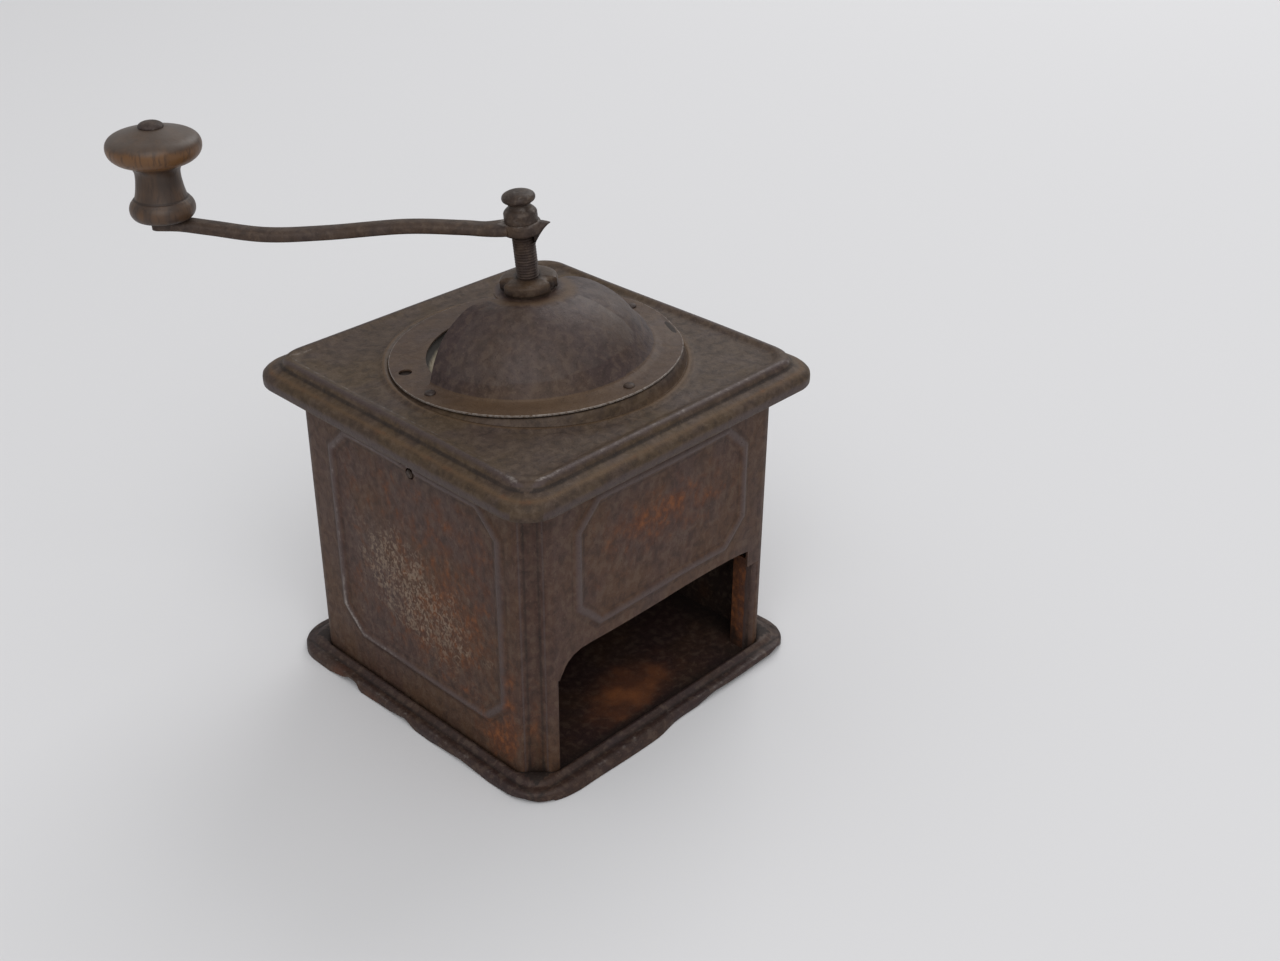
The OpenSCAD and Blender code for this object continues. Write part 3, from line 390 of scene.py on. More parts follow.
def worn_sheet(
    name, tone, warm, cool, crest, roughness=0.55, stretch=(1, 1, 1), rust_break=1.3, rust_spot=2.2
):
    """Blued and browned steel sheet, pressed and then worn for decades. The old lacquer has turned brown in
    clouds a few centimetres wide, steel shows where cloths and hands rubbed the edges, rust lies in the foot
    and the folds, and a dull grain of a few tenths of a millimetre breaks up every reflection. The golden,
    crest and bare-steel layers are partly painted highlights, and the dark layer of dirt is partly painted
    shade."""
    colours = bpy.context.scene.grinder_colours
    made = Finish(name, tone, roughness, 0.12, 0.32, stretch)
    made.layer(made.cloud(28, 0.4, 0.6, detail=3, seed=1.3), 0.85, warm, roughness + 0.05)
    made.layer(made.cloud(13, 0.44, 0.66, detail=5, seed=9.2), 0.5, cool, roughness - 0.05)
    mottle = made.noise(2.8, 7, 0.4, seed=4.1)
    made.layer(made.cut(mottle, 0.5, 0.66), 0.36, GRIME_AND_SHADE, roughness + 0.1)
    made.layer(made.cut(mottle, 0.5, 0.36), 0.22, DUST, roughness + 0.08)
    # Golden layer: partly real tone, partly a painted highlight on the lid's shoulder and round bead, and
    # painted light on the lid's right slope and the body's fold strips
    made.layer(made.ragged("gold_and_highlight", 7, 0.15, 1.0, 0.6, seed=6.3), 0.75, GOLD_AND_HIGHLIGHT, roughness + 0.05)
    # Crest layer: partly a painted highlight on the body's bead crests and the dome's right, and the lighter
    # half of the painted relief shading in the body's corners
    made.layer(made.ragged("cool", 3, 0.15, 1.0, 0.5, seed=3.9), 0.8, crest, roughness - 0.08, 0.3)
    rust = made.ragged("rust", 5, 0.2, 1.0, rust_break, seed=5.1)
    fresh = made.both(rust, made.cloud(rust_spot, 0.42, 0.7, detail=5, seed=3.3))
    made.layer(rust, 0.8, colours.rust_dark, 0.8, 0.0)
    made.layer(fresh, 0.65, colours.rust_light, 0.85, 0.0)
    # Dark layer: dirt in places, and painted shade under the lid, under the hopper's flange, in the body's
    # corner flutes, in the fold at the dome's foot and along the nut's lower edge
    made.layer(made.ragged("grime_and_shade", 4, 0.15, 0.95, 0.7, seed=8.8), 0.85, GRIME_AND_SHADE, 0.7, 0.0)
    fine = made.noise(1.5, 8, 0.9, seed=2.2)
    freckle = made.cut(made.sum(fine, made.both(made.field("pale"), 0.12)), 0.55, 0.76)
    made.layer(made.both(freckle, made.ragged("pale", 7, 0.2, 1.3, 1.6, seed=7.4)), 0.55, BLOOM, 0.75)
    # Bare steel: rubbed edges, and a painted highlight along the left face's beads and on the dome's right
    rub_and_highlight = made.ragged("rub_and_highlight", 2.4, 0.3, 1.05, 1.2, seed=8.4)
    made.layer(made.both(rub_and_highlight, made.cloud(0.9, 0.25, 0.6, detail=4, seed=1.9)), 0.75, BARE_AND_HIGHLIGHT, 0.4, 0.7)
    grain = made.noise(0.55, 3, seed=7.7)
    made.layer(made.cut(grain, 0.58, 0.75), 0.32, DUST, 0.8)
    made.layer(made.cut(grain, 0.42, 0.26), 0.45, GRIME_AND_SHADE, 0.75)
    return made.finish([(mottle, 0.22), (grain, 0.06)])


def tinned_sheet():
    """Steel sheet dipped in tin: pale and half bright, dulled in clouds, brown where the tin has gone."""
    made = Finish("tinned_steel_bowl", "#a89d88", 0.42, 0.5)
    made.layer(made.cloud(9, 0.42, 0.6, detail=4), 1.0, "#8f8570", 0.55)
    made.layer(made.cloud(2, 0.55, 0.66, seed=3), 0.6, "#5e4c3a", 0.7, 0.1)
    # Dark layer: painted shadow under the flange's edge, and darker on the bowl's floor
    made.layer(made.ragged("grime_and_shade", 5, 0.1, 0.9, 0.5), 0.95, GRIME_AND_SHADE, 0.7, 0.0)
    return made.finish([(made.noise(1.2, seed=5), 0.05)])


def turned_steel():
    """Screws and pins turned from steel rod: the brightest metal here, dulled in patches, with rust spots."""
    made = Finish("turned_steel_fittings", "#6f6862", 0.38, 0.8)
    made.layer(made.cloud(3, 0.42, 0.62, detail=5), 1.0, "#463a33", 0.55, 0.3)
    made.layer(made.cloud(1, 0.5, 0.66, seed=2), 0.6, "#5a3520", 0.75, 0.0)
    return made.finish([(made.noise(0.8, seed=6), 0.05)])


def cast_iron():
    """Grey iron cast in sand: dark and matt, with the sand's grain and brown patches."""
    made = Finish("sand_cast_iron", "#37322f", 0.6, 0.5)
    made.layer(made.cloud(6, 0.4, 0.62, detail=5), 1.0, "#3f2d24", 0.72, 0.1)
    return made.finish([(made.noise(1.6, 3), 0.25), (made.noise(0.7, 3), 0.1)])


def stained_beech(ground):
    """Beech turned, stained and handled: dark streaks along the grain, a golden band where the stain has worn
    through that is partly a painted highlight, darker in the neck, painted shade under the head, dirt in the
    step and a greyed top."""
    made = Finish("turned_beech_stained", ground, 0.42, 0.0, 0.4, stretch=(1, 1, 0.14))
    streak = made.noise(1.1, 6, 0.4)
    made.layer(made.cloud(5, 0.4, 0.6, detail=3, seed=2), 0.7, "#503a28", 0.42)
    # Golden band: worn stain, and partly a painted highlight
    made.layer(made.ragged("gold_and_highlight", 4, 0.1, 0.9, 0.9, seed=4), 0.8, "#674626", 0.4)
    made.layer(made.cut(streak, 0.5, 0.68), 0.55, "#2b1f18", 0.5)
    # Dark layer: dirt in the step, darker in the neck, and painted shade under the head
    made.layer(made.ragged("grime_and_shade", 3, 0.15, 0.95, 0.6, seed=6), 0.85, "#271c16", 0.6)
    made.layer(made.ragged("rub_and_highlight", 5, 0.2, 1.0, 0.8, seed=7), 0.7, "#544941", 0.46)
    return made.finish([(streak, 0.08)])


def dress(colours):
    """The finishes by name. Hex colours are what the eye sees of each in plain light. A worn sheet takes
    those of its ground, its warm and its cool clouds and its crests."""
    return {
        # Dark and fairly smooth, with rust in a few broad spots
        "base": worn_sheet("browned_steel_base", colours.base, "#3a281f", "#322626", "#443936", 0.5,
                           rust_break=0.4, rust_spot=14),
        # The warmest brown, its clouds drawn out upwards a little
        "body": worn_sheet("browned_steel_body", colours.body, "#4c3424", "#42302a", "#544745", 0.55,
                           stretch=(1, 1, 0.8)),
        # Olive brown, lit from above
        "lid": worn_sheet("browned_steel_lid", colours.lid, "#483826", "#3e302c", "#483c3b", 0.55),
        # Bluish brown with a soft shine on the dome
        "dome": worn_sheet("browned_steel_dome", colours.dome, "#402f25", "#3f3232", "#564c47", 0.52),
        # Forged and handled, greyer on its crests
        "iron": worn_sheet("forged_iron_crank", colours.iron, "#403127", "#3c3230", "#4e4542", 0.54),
        # Turned and oiled, the darkest and smoothest
        "nut": worn_sheet("oiled_iron_nuts", colours.nuts, "#3a2b20", "#3a2f2c", "#4d433d", 0.45),
        # Never cleaned, so dull and dark
        "inside": worn_sheet("dull_steel_inside", "#2c1e18", "#3d2412", "#2a1f1c", "#33261f", 0.75),
        "tin": tinned_sheet(),
        "bright": turned_steel(),
        "cast": cast_iron(),
        "wood": stained_beech(colours.wood),
    }


MADE = {}  # the finishes by name, once the first operator has run


# Shapes: base

BASE_COLUMNS = 512
RIM_ROWS = 9  # rows from the lip's lower edge to the groove, which bend with the lip
RIM_TOP = 4.2
RIM_WAVE = 0.25
FRONT_BULGE = 1.7
FLOOR_TOP = 1.2
GROOVE = 66.0  # distance of the groove inside the rim from the middle
LIFTED_LEFT = [  # y, how far the lip is bent up off the table there
    (-66, 0.6), (-62, 1.7), (-55, 0.9), (-46, 0), (-31, 1.6), (-20, 0.8), (-14, 0), (-6, 0),
    (0, 2.4), (8, 0.9), (20, 0.3), (26.5, 0), (28.5, 3.6), (33, 3.8), (36, 2), (45, 0),
]
LIFTED_FRONT = [  # the same along x
    (-60, 0), (-5, 0), (12, 0.4), (21, 2.6), (30, 2.2), (38, 2), (53, 2), (58, 3.4), (63, 0.8),
]


def base_lift(x, y):
    """How far the base's bent lip is lifted off the table: straight lines between places along each side."""
    left = np.interp(y, *zip(*LIFTED_LEFT))
    front = np.interp(x, *zip(*LIFTED_FRONT))
    return np.where(x < -60, left, 0) + np.where(y < -60, front, 0) * (x > -60)


def base_sheets(size):
    """Rows from the lip's lower edge over the rolled rim, the groove and the bead to the floor's middle. The
    rim is then lifted where it is bent, bulged out at the left of the front, and waved."""
    angle = square_angles(BASE_COLUMNS)
    half, corner = size.base_width / 2 / MM, size.base_corner / MM
    wall_half, bevel = size.body_width / 2 / MM, body_bevel(size)

    def lip(inset):
        return rounded_square(angle, half - inset, corner - inset)

    def foot(gap):
        return bevelled_square(angle, wall_half + gap, bevel + gap)

    def between(inset, gap, share):
        return (1 - share) * lip(inset) + share * foot(gap)

    rows = [
        (lip(0), 0.36), (lip(0), 0.9), (lip(0), 1.8), (lip(0.03), 2.6), (lip(0.3), 3.3), (lip(0.9), 3.9),
        (lip(1.7), RIM_TOP), (lip(2.6), RIM_TOP), (lip(3.3), 4.1),
        (lip(3.9), 4.25), (lip(4.5), 4.65), (lip(5.1), 5.1),
        (between(5.6, 2.6, 0.2), 5.45), (between(6.2, 1.9, 0.45), 5.65), (between(6.8, 1.2, 0.75), 5.6),
        (foot(0.8), 5.3), (foot(0.4), 4.7), (foot(0.25), 4.0), (foot(0.25), 1.9), (foot(0), 1.35),
        (foot(-0.8), FLOOR_TOP),
    ]
    rows += [(foot(-0.8) * share, FLOOR_TOP) for share in (0.9, 0.75, 0.6, 0.45, 0.3, 0.15, 0.0)]
    points = loft(angle, rows)
    x, y, z = points[..., 0], points[..., 1], points[..., 2]
    number = np.arange(len(rows))[:, None]
    rim = number < RIM_ROWS
    lift = base_lift(x, y) * np.clip(1 - z / RIM_TOP, 0, 1) * rim
    bulge = smoothstep(x, -62, -48) * (1 - smoothstep(x, -12, 2)) * (y < -60) * FRONT_BULGE * rim
    wave = RIM_WAVE * np.sin(0.13 * x + 1.1) * np.sin(0.11 * y + 0.4) * rim
    out = (bulge + wave) * np.clip(1 - number / RIM_ROWS, 0, 1)
    points[..., 2] += lift
    points[..., 0] += np.where(np.abs(x) > GROOVE, np.sign(x) * wave * 0.6, 0)
    points[..., 1] -= np.where(y < -60, out, 0)
    return [Sheet(points, closed=True)]


def base_wear(p):
    """Dirt in the groove, darker round the body's foot and at the sides of the bay's floor, rust on the left
    of the lip and near the opening, and a bluish crest on rim and bead."""
    x, y, z = p.T
    out = np.maximum(np.abs(x), np.abs(y))
    left = x < -GROOVE
    floor = (z < 1.5) & (out < 61)
    foot = (out < 62.4) * smoothstep(out, 52, 61)
    bay_sides = floor * (1 - smoothstep(y, -20, 30)) * smoothstep(np.abs(x), 30, 60)
    left_rust = 0.8 * blob(y, z, (39, 1.5), (7, 4)) + 0.5 * blob(y, z, (20, 1.5), (9, 3))
    bay_rust = 0.75 * blob(x, y, (4, -43), (17, 11)) + 0.5 * blob(x, y, (-14, -52), (12, 7)) + 0.2
    return {
        "rub_and_highlight": 0.25 * swell(z - 4.1, 0.8) * (out > GROOVE) + 0.12 * (out > 68.5),
        "grime_and_shade": 0.75 * swell(out - GROOVE, 1.3) + 0.95 * foot + 0.25 * (z < 0.8) + 0.5 * bay_sides,
        "cool": 0.3 * swell(z - 5.5, 0.8) + 0.4 * swell(z - 3.8, 1.4) * (out > 67),
        "gold_and_highlight": 0.3 * (out > 68.8) * smoothstep(y, -60, 20),
        "rust": left * left_rust + 0.35 * (out > 68) * blob(y, z, (-30, 1.5), (30, 3)) + floor * bay_rust,
        "pale": 0.12 * floor,
    }


# Shapes: body

CORNER_LEG = 9.4
CORNER_RIB, RIB_REACH = 0.9, 1.9
CORNER_FLUTE, FLUTE_REACH = 1.1, 3.4
PANELS = {  # half width, middle height, half height, shift along the side
    "front": (41.0, 82.0, 24.0, 0.0),
    "side": (43.5, 63.5, 42.5, 0.0),
    "left": (43.5, 63.5, 42.5, 3.8),
}
SIDE_PANELS = ("front", "side", "side", "left")  # counter-clockwise from the front
PANEL_BEVEL = 9.5
PANEL_BEAD, BEAD_REACH = 1.1, 2.5
WALL_WAVE = 0.22
OPENING_HALF = 50.0
OPENING_FOOT = 42.5  # the seam of the wall's two sheets, drawn up to the opening's upper edge in front
OPENING_FADE = 13.5  # height over which the rows above it are drawn up less and less
STRIP_DEEP, STRIP_MIDDLE = 9.9, 8.0  # behind the wall's face
SCREW_AT = (-4.0, 103.5)  # along the side, and up
SCREW_HOLE = 2.1
SCREW_PATCH = (5.2, 4.2)  # half the width and height of the block that is blanked round the hole
FACE = 60.5  # a point of the wall further out than this lies on a side
FAR_OFF = 99.0  # a distance beyond every bead


def body_bevel(size):
    """Distance of the corners' bevel from the middle, along the diagonal."""
    return size.body_width / MM / np.sqrt(2) - CORNER_LEG / np.sqrt(2)


def panel_distance(t, z, panel):
    """Signed distance from a panel's eight-sided outline: the largest of its side, end and bevel ones."""
    half_w, middle, half_h, shift = PANELS[panel]
    up = np.abs(z - middle)
    across = np.abs(t - shift)
    bevel = (across + up - (half_w + half_h - PANEL_BEVEL)) / np.sqrt(2)
    return np.maximum(np.maximum(across - half_w, up - half_h), bevel)


def wall_plan(size):
    """Once round the wall, counter-clockwise from the front's left end: points, outward normals, the side's
    number (4 on a corner) and the distance along the side. Each corner is a bevel with a rib at both ends
    and a hollow flute between them."""
    half = size.body_width / 2 / MM
    flat = half - CORNER_LEG
    ahead = np.concatenate(
        [
            np.linspace(0, 30, 14)[:-1],
            np.linspace(30, 46, 22),
            [46.05, 47.3, 48.6, OPENING_HALF, 51.3, flat],
        ]
    )
    along = np.concatenate([-ahead[:0:-1], ahead])
    chord = CORNER_LEG * np.sqrt(2)
    share = np.linspace(0, 1, 25)[1:-1]
    at = share * chord
    rib = swell(at - RIB_REACH, RIB_REACH) + swell(chord - at - RIB_REACH, RIB_REACH)
    rise = CORNER_RIB * rib - CORNER_FLUTE * swell(at - chord / 2, FLUTE_REACH)
    points, normals, sides, places = [], [], [], []
    for side in range(4):
        c, s = np.round([np.cos(side * np.pi / 2), np.sin(side * np.pi / 2)])
        run, out = np.array([c, s]), np.array([s, -c])
        points.append(half * out + along[:, None] * run)
        normals.append(np.broadcast_to(out, (len(along), 2)))
        sides.append(np.full(len(along), side))
        places.append(along)
        diagonal = (run + out) / np.sqrt(2)
        line = half * out + flat * run + at[:, None] * (run - out) / np.sqrt(2)
        points.append(line + rise[:, None] * diagonal)
        normals.append(np.broadcast_to(diagonal, (len(at), 2)))
        sides.append(np.full(len(at), 4))
        places.append(at)
    return [np.concatenate(part) for part in (points, normals, sides, places)]


def wall_grid(plan, heights, slide=None):
    """The wall's points: the plan carried up the heights, pushed out by the pressed beads and by low waves
    that die away towards the edges."""
    points, normals, sides, places = plan
    z = np.broadcast_to(np.asarray(heights, float)[:, None], (len(heights), len(points)))
    if slide is not None:
        z = slide(z, sides, places)
    press = np.zeros_like(z)
    for side, panel in enumerate(SIDE_PANELS):
        bead = swell(panel_distance(places, z, panel), BEAD_REACH)
        press += np.where(sides == side, PANEL_BEAD * bead, 0)
    wave = WALL_WAVE * np.sin(0.09 * places + 0.07 * z + 1.7 * sides) * (sides < 4)
    wave *= smoothstep(z, 2, 30) * (1 - smoothstep(z, 100, 120)) * (1 - smoothstep(np.abs(places), 30, 46))
    out = (press + wave)[..., None] * normals
    return np.concatenate([points + out, z[..., None]], axis=-1)


OPENING_EDGE = [
    (-50, 42.5), (-49.2, 43.6), (-48, 46), (-46.3, 48), (-43.5, 49.7), (-40, 50.6), (-35, 50.8),
    (0, 50.5), (25, 50.8), (36, 50.6), (42, 50.1), (46, 49.5), (46.04, 42.5), (50, 42.5),
]


def slide_opening(z, sides, places):
    """Draws the wall's lowest row up to the opening's upper edge and fades the shift out above it."""
    edge_x, edge_z = np.array(OPENING_EDGE).T
    top = np.interp(places, edge_x, edge_z)
    fade = np.clip(1 - (z - OPENING_FOOT) / OPENING_FADE, 0, 1)
    front = (sides == 0) & (np.abs(places) <= OPENING_HALF)
    return z + np.where(front, (top - OPENING_FOOT) * fade, 0)


def body_sheets(size):
    """The wall in two sheets. The upper one is closed; the lower one runs from one side of the drawer opening
    right round to the other and ends in the strips that are folded into it."""
    plan = wall_plan(size)
    points, normals, sides, places = plan
    half = size.body_width / 2 / MM
    top = size.wall_top / MM
    heights = np.concatenate(
        [
            [OPENING_FOOT, 43.5, 45, 47, 49.2, 51.5, 53.8],
            np.linspace(56, 68, 17),
            np.linspace(68, 94.5, 12)[1:],
            np.linspace(94.5, 108, 19)[1:],
            [110, 112.5, 115, 118, top - 0.9],
        ]
    )
    upper = wall_grid(plan, heights, slide_opening)
    rim = []
    for inset, z in ((0.1, top - 0.3), (0.5, top - 0.05), (1.5, top), (5, top)):
        rim.append(np.concatenate([points - inset * normals, np.full((len(points), 1), z)], axis=1))
    upper = Sheet(np.concatenate([upper, rim]), closed=True)
    patches = []
    across, up = SCREW_PATCH
    for side, t in ((1, SCREW_AT[0]), (3, -SCREW_AT[0])):
        near = np.flatnonzero((sides == side) & (np.abs(places - t) < across))
        rows = np.flatnonzero(np.abs(heights - SCREW_AT[1]) < up)
        out = normals[near[0]]
        run = np.array([-out[1], out[0]])
        centre = np.array([*(half * out + t * run), SCREW_AT[1]])
        block = ((rows[0], rows[-1]), (near[0], near[-1]))
        patches.append(upper.punch(*block, centre, np.array([*out, 0.0]), SCREW_HOLE))
    low = np.concatenate(
        [
            [1.25, 2.5, 5, 8, 11, 14, 17],
            np.linspace(18.6, 31.6, 18),
            [33.5, 36, 38.5, 40.5, OPENING_FOOT],
        ]
    )
    order = np.flatnonzero((sides != 0) | (np.abs(places) > flat_end(size) - 1e-6))
    order = np.concatenate([order[1:], order[:1]])
    ring = wall_grid([part[order] for part in plan], low)
    right = fold_in(size, 2.6, 4.0, 1, low)
    left = fold_in(size, 1.3, 1.3, -1, low)
    lower = Sheet(np.concatenate([right, ring, left], axis=1))
    return [upper, *patches, lower]


def flat_end(size):
    """Where the flat of a side ends and its corner begins, along the side."""
    return size.body_width / 2 / MM - CORNER_LEG


def fold_in(size, across, deep, side, heights):
    """The strip folded into the opening at its right (side 1) or left (side -1): a quarter of an ellipse from
    the wall's face, then a flat strip to 10 mm behind it, carried up the heights. The right one leaves its
    last point to the wall, which starts there."""
    face = -size.body_width / 2 / MM
    turn = np.linspace(0, np.pi / 2, 9)
    x = OPENING_HALF + across * (1 - np.cos(turn))
    y = face + deep * (1 - np.sin(turn))
    x = np.concatenate([[OPENING_HALF] * 3, x])
    y = np.concatenate([[face + STRIP_DEEP, face + STRIP_MIDDLE, (face + STRIP_MIDDLE + y[0]) / 2], y])
    x, y = (x[:-1], y[:-1]) if side > 0 else (-x[::-1], y[::-1])
    z = np.asarray(heights)[:, None]
    return np.stack(np.broadcast_arrays(x[None], y[None], z), axis=-1)


def body_wear_and_light(p):
    """Bluish crests on beads, ribs and folds, on the beads partly a painted highlight, and on the left rubbed
    bare in places and partly a painted highlight along the beads. Darker beside the beads and towards the
    foot, painted shade under the lid, and painted relief shading in the corners: dark flutes between the
    lighter ribs. Rust low at the left's front end and over the front panel, golden and rust tones on the fold
    strips that are partly painted light, and a pale bloom in the left panel."""
    x, y, z = p.T
    front, left = y < -FACE, x < -FACE
    right, back = x > FACE, y > FACE
    beads = np.where(front, panel_distance(x, z, "front"), FAR_OFF)
    beads = np.where(right, panel_distance(y, z, "side"), beads)
    beads = np.where(left, panel_distance(-y, z, "left"), beads)
    beads = np.where(back, panel_distance(x, z, "side"), beads)
    corner = ~(front | left | right | back)
    across = np.abs(np.abs(x) - np.abs(y)) / np.sqrt(2)
    inside = smoothstep(-beads, 1, 7)
    foot = 1 - smoothstep(z, 2, 12)
    # The drawer opening's fold strips: their golden, rust, crest and pale tones are partly painted light
    strip = (y > -58.6) & (y < -49) & (np.abs(x) < 53)
    fold = (y <= -58.6) & (y > -61.9) & (np.abs(x) < 53) & (z < 42)
    ribs = 0.5 * swell(across - 2.6, 1.1) + 0.5 * swell(across - 7.0, 0.9) + 0.3 * (across < 2.6)
    left_rust = 0.9 * blob(y, z, (-43, 14), (11, 9)) + 0.6 * blob(y, z, (-50, 34), (4, 22))
    left_rust += 0.3 * blob(y, z, (-20, 56), (26, 32)) + 0.28 * inside
    front_rust = 0.52 * blob(x, z, (-2, 87), (26, 9)) + 0.18 * inside
    left_bloom = blob(y, z, (9, 60), (17, 14)) + 0.85 * blob(y, z, (-10, 47), (21, 16)) + 0.3 * inside
    return {
        # Along the left face's beads: rubbed steel, and partly a painted highlight where that face catches the
        # light
        "rub_and_highlight": 0.42 * left * swell(beads + 0.4, 1.1) * (y > 10)
        + 0.6 * left * blob(y, z, (39, 26), (8, 9)) * swell(beads, 1.4)
        + 0.3 * left * swell(beads, 1.2) * (z < 45) * (y > 0),
        # Darker beside the beads and at the foot; from z 106 up, painted shade under the lid; corner * ribs
        # darkens the flutes and the lines beside the ribs as painted relief shading
        "grime_and_shade": 0.5 * swell(np.abs(beads) - 2.6, 1.2) + 0.6 * foot + 0.65 * smoothstep(z, 106, 115)
        + corner * ribs,
        # Bead crests: partly a painted highlight; the corner term lightens the ribs as painted relief shading
        "cool": swell(beads, 2.6) + 1.3 * corner * swell(across - 4.85, 2.2) + 0.5 * fold,
        "gold_and_highlight": 0.35 * corner * swell(across, 2.2) + 0.3 * front * (beads > 2) + 0.35 * left * (beads > 2)
        + 0.5 * strip,
        "rust": left * left_rust + front * front_rust + 0.8 * strip * (x > 0)
        + 0.45 * corner * blob(z, across, (22, 0), (24, 3.5)) * (y < 0),
        "pale": left * left_bloom + 0.15 * front * inside + 0.3 * fold,
    }


# Shapes: lid

LID_COLUMNS = 432
LID_CORNER, CORNER_SHRINK = 12.5, 0.33  # the skirt's corner radius, and its loss per millimetre inwards
RIDGE_WIDTH = 11.3  # from the skirt's face to the panel
THROAT_R = 42.0


def lid_sheets(size):
    """Rows from the skirt's lower edge over shoulder and ridge to the flat panel, through the round bead, up
    the slope that the askew flange stands on, and in to the hopper's throat."""
    angle = square_angles(LID_COLUMNS)
    half, panel = size.lid_width / 2 / MM, size.lid_panel / MM
    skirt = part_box("lid")[0].z / MM

    def edge(inset):
        return rounded_square(angle, half - inset, LID_CORNER - CORNER_SHRINK * inset)

    profile = [
        (0.35, skirt), (0.05, skirt + 0.5), (0, skirt + 1.6), (0, skirt + 2.9), (0.15, skirt + 3.9),
        (0.7, 119.3), (1.5, 120.05), (2.4, 120.6), (3.5, 121.05), (4.6, 121.4), (5.3, 121.75), (5.8, 122.3),
        (6.1, 123.0), (6.5, 123.7), (7.1, 124.15), (7.9, 124.35), (8.8, 124.3), (9.6, 124.0), (10.4, 123.6),
        (RIDGE_WIDTH, panel),
    ]
    rows = [(edge(inset), z) for inset, z in profile]
    ring = size.seat_bead / MM
    rows += [((1 - s) * edge(RIDGE_WIDTH) + s * (ring + 2.3), panel) for s in (0.2, 0.45, 0.7, 0.88, 1.0)]
    bead = [(1.7, 0.15), (1.1, 0.55), (0.5, 0.85), (0, 0.95), (-0.4, 0.9), (-0.8, 0.7)]
    rows += [(ring + dr, panel + h) for dr, h in bead]
    points = loft(angle, [(np.broadcast_to(r, angle.shape), z) for r, z in rows])
    far = np.hypot(points[..., 0], points[..., 1])
    sag = 0.35 * np.sin(0.05 * points[..., 0] + 0.8) * np.sin(0.045 * points[..., 1])
    points[..., 2] += np.where((np.arange(len(rows)) > 12)[:, None], sag, 0) * smoothstep(far, 56, 64)
    heading = np.stack([np.cos(angle), np.sin(angle)], axis=-1)

    def under_flange(radius, h, least=-1e9):
        """A circle at height h of the flange's frame, but no lower than the height least."""
        flat = np.concatenate([radius * heading, np.full((len(angle), 1), float(h))], axis=1)
        made = seated(flat)
        made[:, 2] = np.maximum(made[:, 2], least)
        return made

    under = -size.flange_sheet / MM
    foot = points[-1]
    top = under_flange(ring - 2.0, under - 0.9, panel + 0.05)
    slope = [foot + share * (top - foot) for share in (0.3, 0.65, 1.0)]
    inward = [
        under_flange(ring - 2.8, under - 0.5, panel + 0.02),
        under_flange(ring - 4.4, under - 0.25),
        under_flange(THROAT_R + 4.0, under - 0.25),
        under_flange(THROAT_R, under - 0.25),
        under_flange(THROAT_R, under - 1.2),
    ]
    return [Sheet(np.concatenate([points, np.stack(slope + inward)]), closed=True)]


def lid_wear_and_light(p):
    """Bluish ridge and skirt, rubbed bare at the near corner, along the left and at the skirt's edge. A
    painted highlight in golden and rust tones on the shoulder, a golden painted highlight along the round bead
    and painted light on the right of the slope under the flange. Dirt in the fold above the shoulder, partly
    painted shade on its steep rise, painted shadow under the hopper's flange, and darker round the hopper."""
    x, y, z = p.T
    out = np.maximum(np.abs(x), np.abs(y))
    far = np.hypot(x, y)
    near = blob(x, y, (-60, -60), (14, 14))
    shoulder = swell(z - 120.55, 0.95) * (out > 64)
    inner = swell(out - 61.2, 1.2) * (z > 123.2)
    slope = smoothstep(far, 51, 52) * (1 - smoothstep(far, 55, 57))
    return {
        "rub_and_highlight": 0.75 * near * swell(out - 64.0, 1.6) * (z > 123.8) + 0.5 * swell(z - 114.6, 0.5)
        + 0.55 * inner * (x < -50) * smoothstep(y, -64, -30)
        + 0.5 * swell(out - 64.2, 1.3) * (z > 123) * (y < -55) * (x > -35),
        # far < 50.6 is painted shadow under the flange; the term at z 122 is dirt in the fold and partly
        # painted shade on its steep rise
        "grime_and_shade": 0.95 * swell(z - 122.0, 0.85) * (out > 64) + 0.5 * swell(z - 118.9, 1.1) * (out > 70.5)
        + 0.9 * (far < 50.6) + 0.35 * swell(far - 55.9, 1.2) * (out < 60) + 0.3 * swell(out - 60.2, 1.2),
        # The shoulder and the round bead get painted highlights, and the right of the slope painted light
        "gold_and_highlight": 0.85 * shoulder + 0.8 * swell(far - 53.4, 1.1) * (z > 123.6)
        + 0.35 * swell(out - 62.4, 1.4) * (z > 123) + 0.5 * slope * (x > 0),
        "cool": swell(out - 64.4, 1.9) * (z > 122.9) + swell(z - 116.4, 2.6) * (out > 71),
        # Rust on the shoulder warms its painted highlight band
        "rust": 0.25 * shoulder,
    }


# Shapes: hopper

CUT_START, CUT_END = 171.0, 355.0  # headings between which the dome is fixed
DOME_R = 43.2
DOME_H = 22.87
DOME_POWER = 3.57
DOME_FALL, FALL_SPREAD, FALL_HEADING = 1.12, 0.12, 318.0
DOME_SWELL, SWELL_HEADING = 2.29, 174.0
DOME_DIP = 1.64
DOME_DENT, DENT_HEADING = 2.3, 168.0
DOME_PUSH, PUSH_HEADING = 4.99, 136.7
DOME_SHEET = 0.8
DOME_FOOT_R, FOOT_SPREAD = 41.9, 1.2
FOOT_RISE, FOOT_FILLET = 0.6, 2.8
CROWN_R = 12.0
BUSH_HOLE_R = 7.0
MOUTH_R = 38.5
RIVET_RING = 46.6
RIVETS = (-91.5, -1.5, 66.0, 178.0)
SPARE_HOLE_AT, SPARE_HOLE_R = 153.0, 2.3


def on_flange(radius, heading, h=0.0):
    """Points of the upright frame at a radius, a heading and a height over the flange's top."""
    flat = np.broadcast_arrays(radius * np.cos(heading), radius * np.sin(heading), h)
    return seated(np.stack(flat, axis=-1))


def toward(heading, degrees):
    """1 at this heading, 0 opposite it, half a cosine wave between."""
    return 0.5 + 0.5 * np.cos(heading - np.radians(degrees))


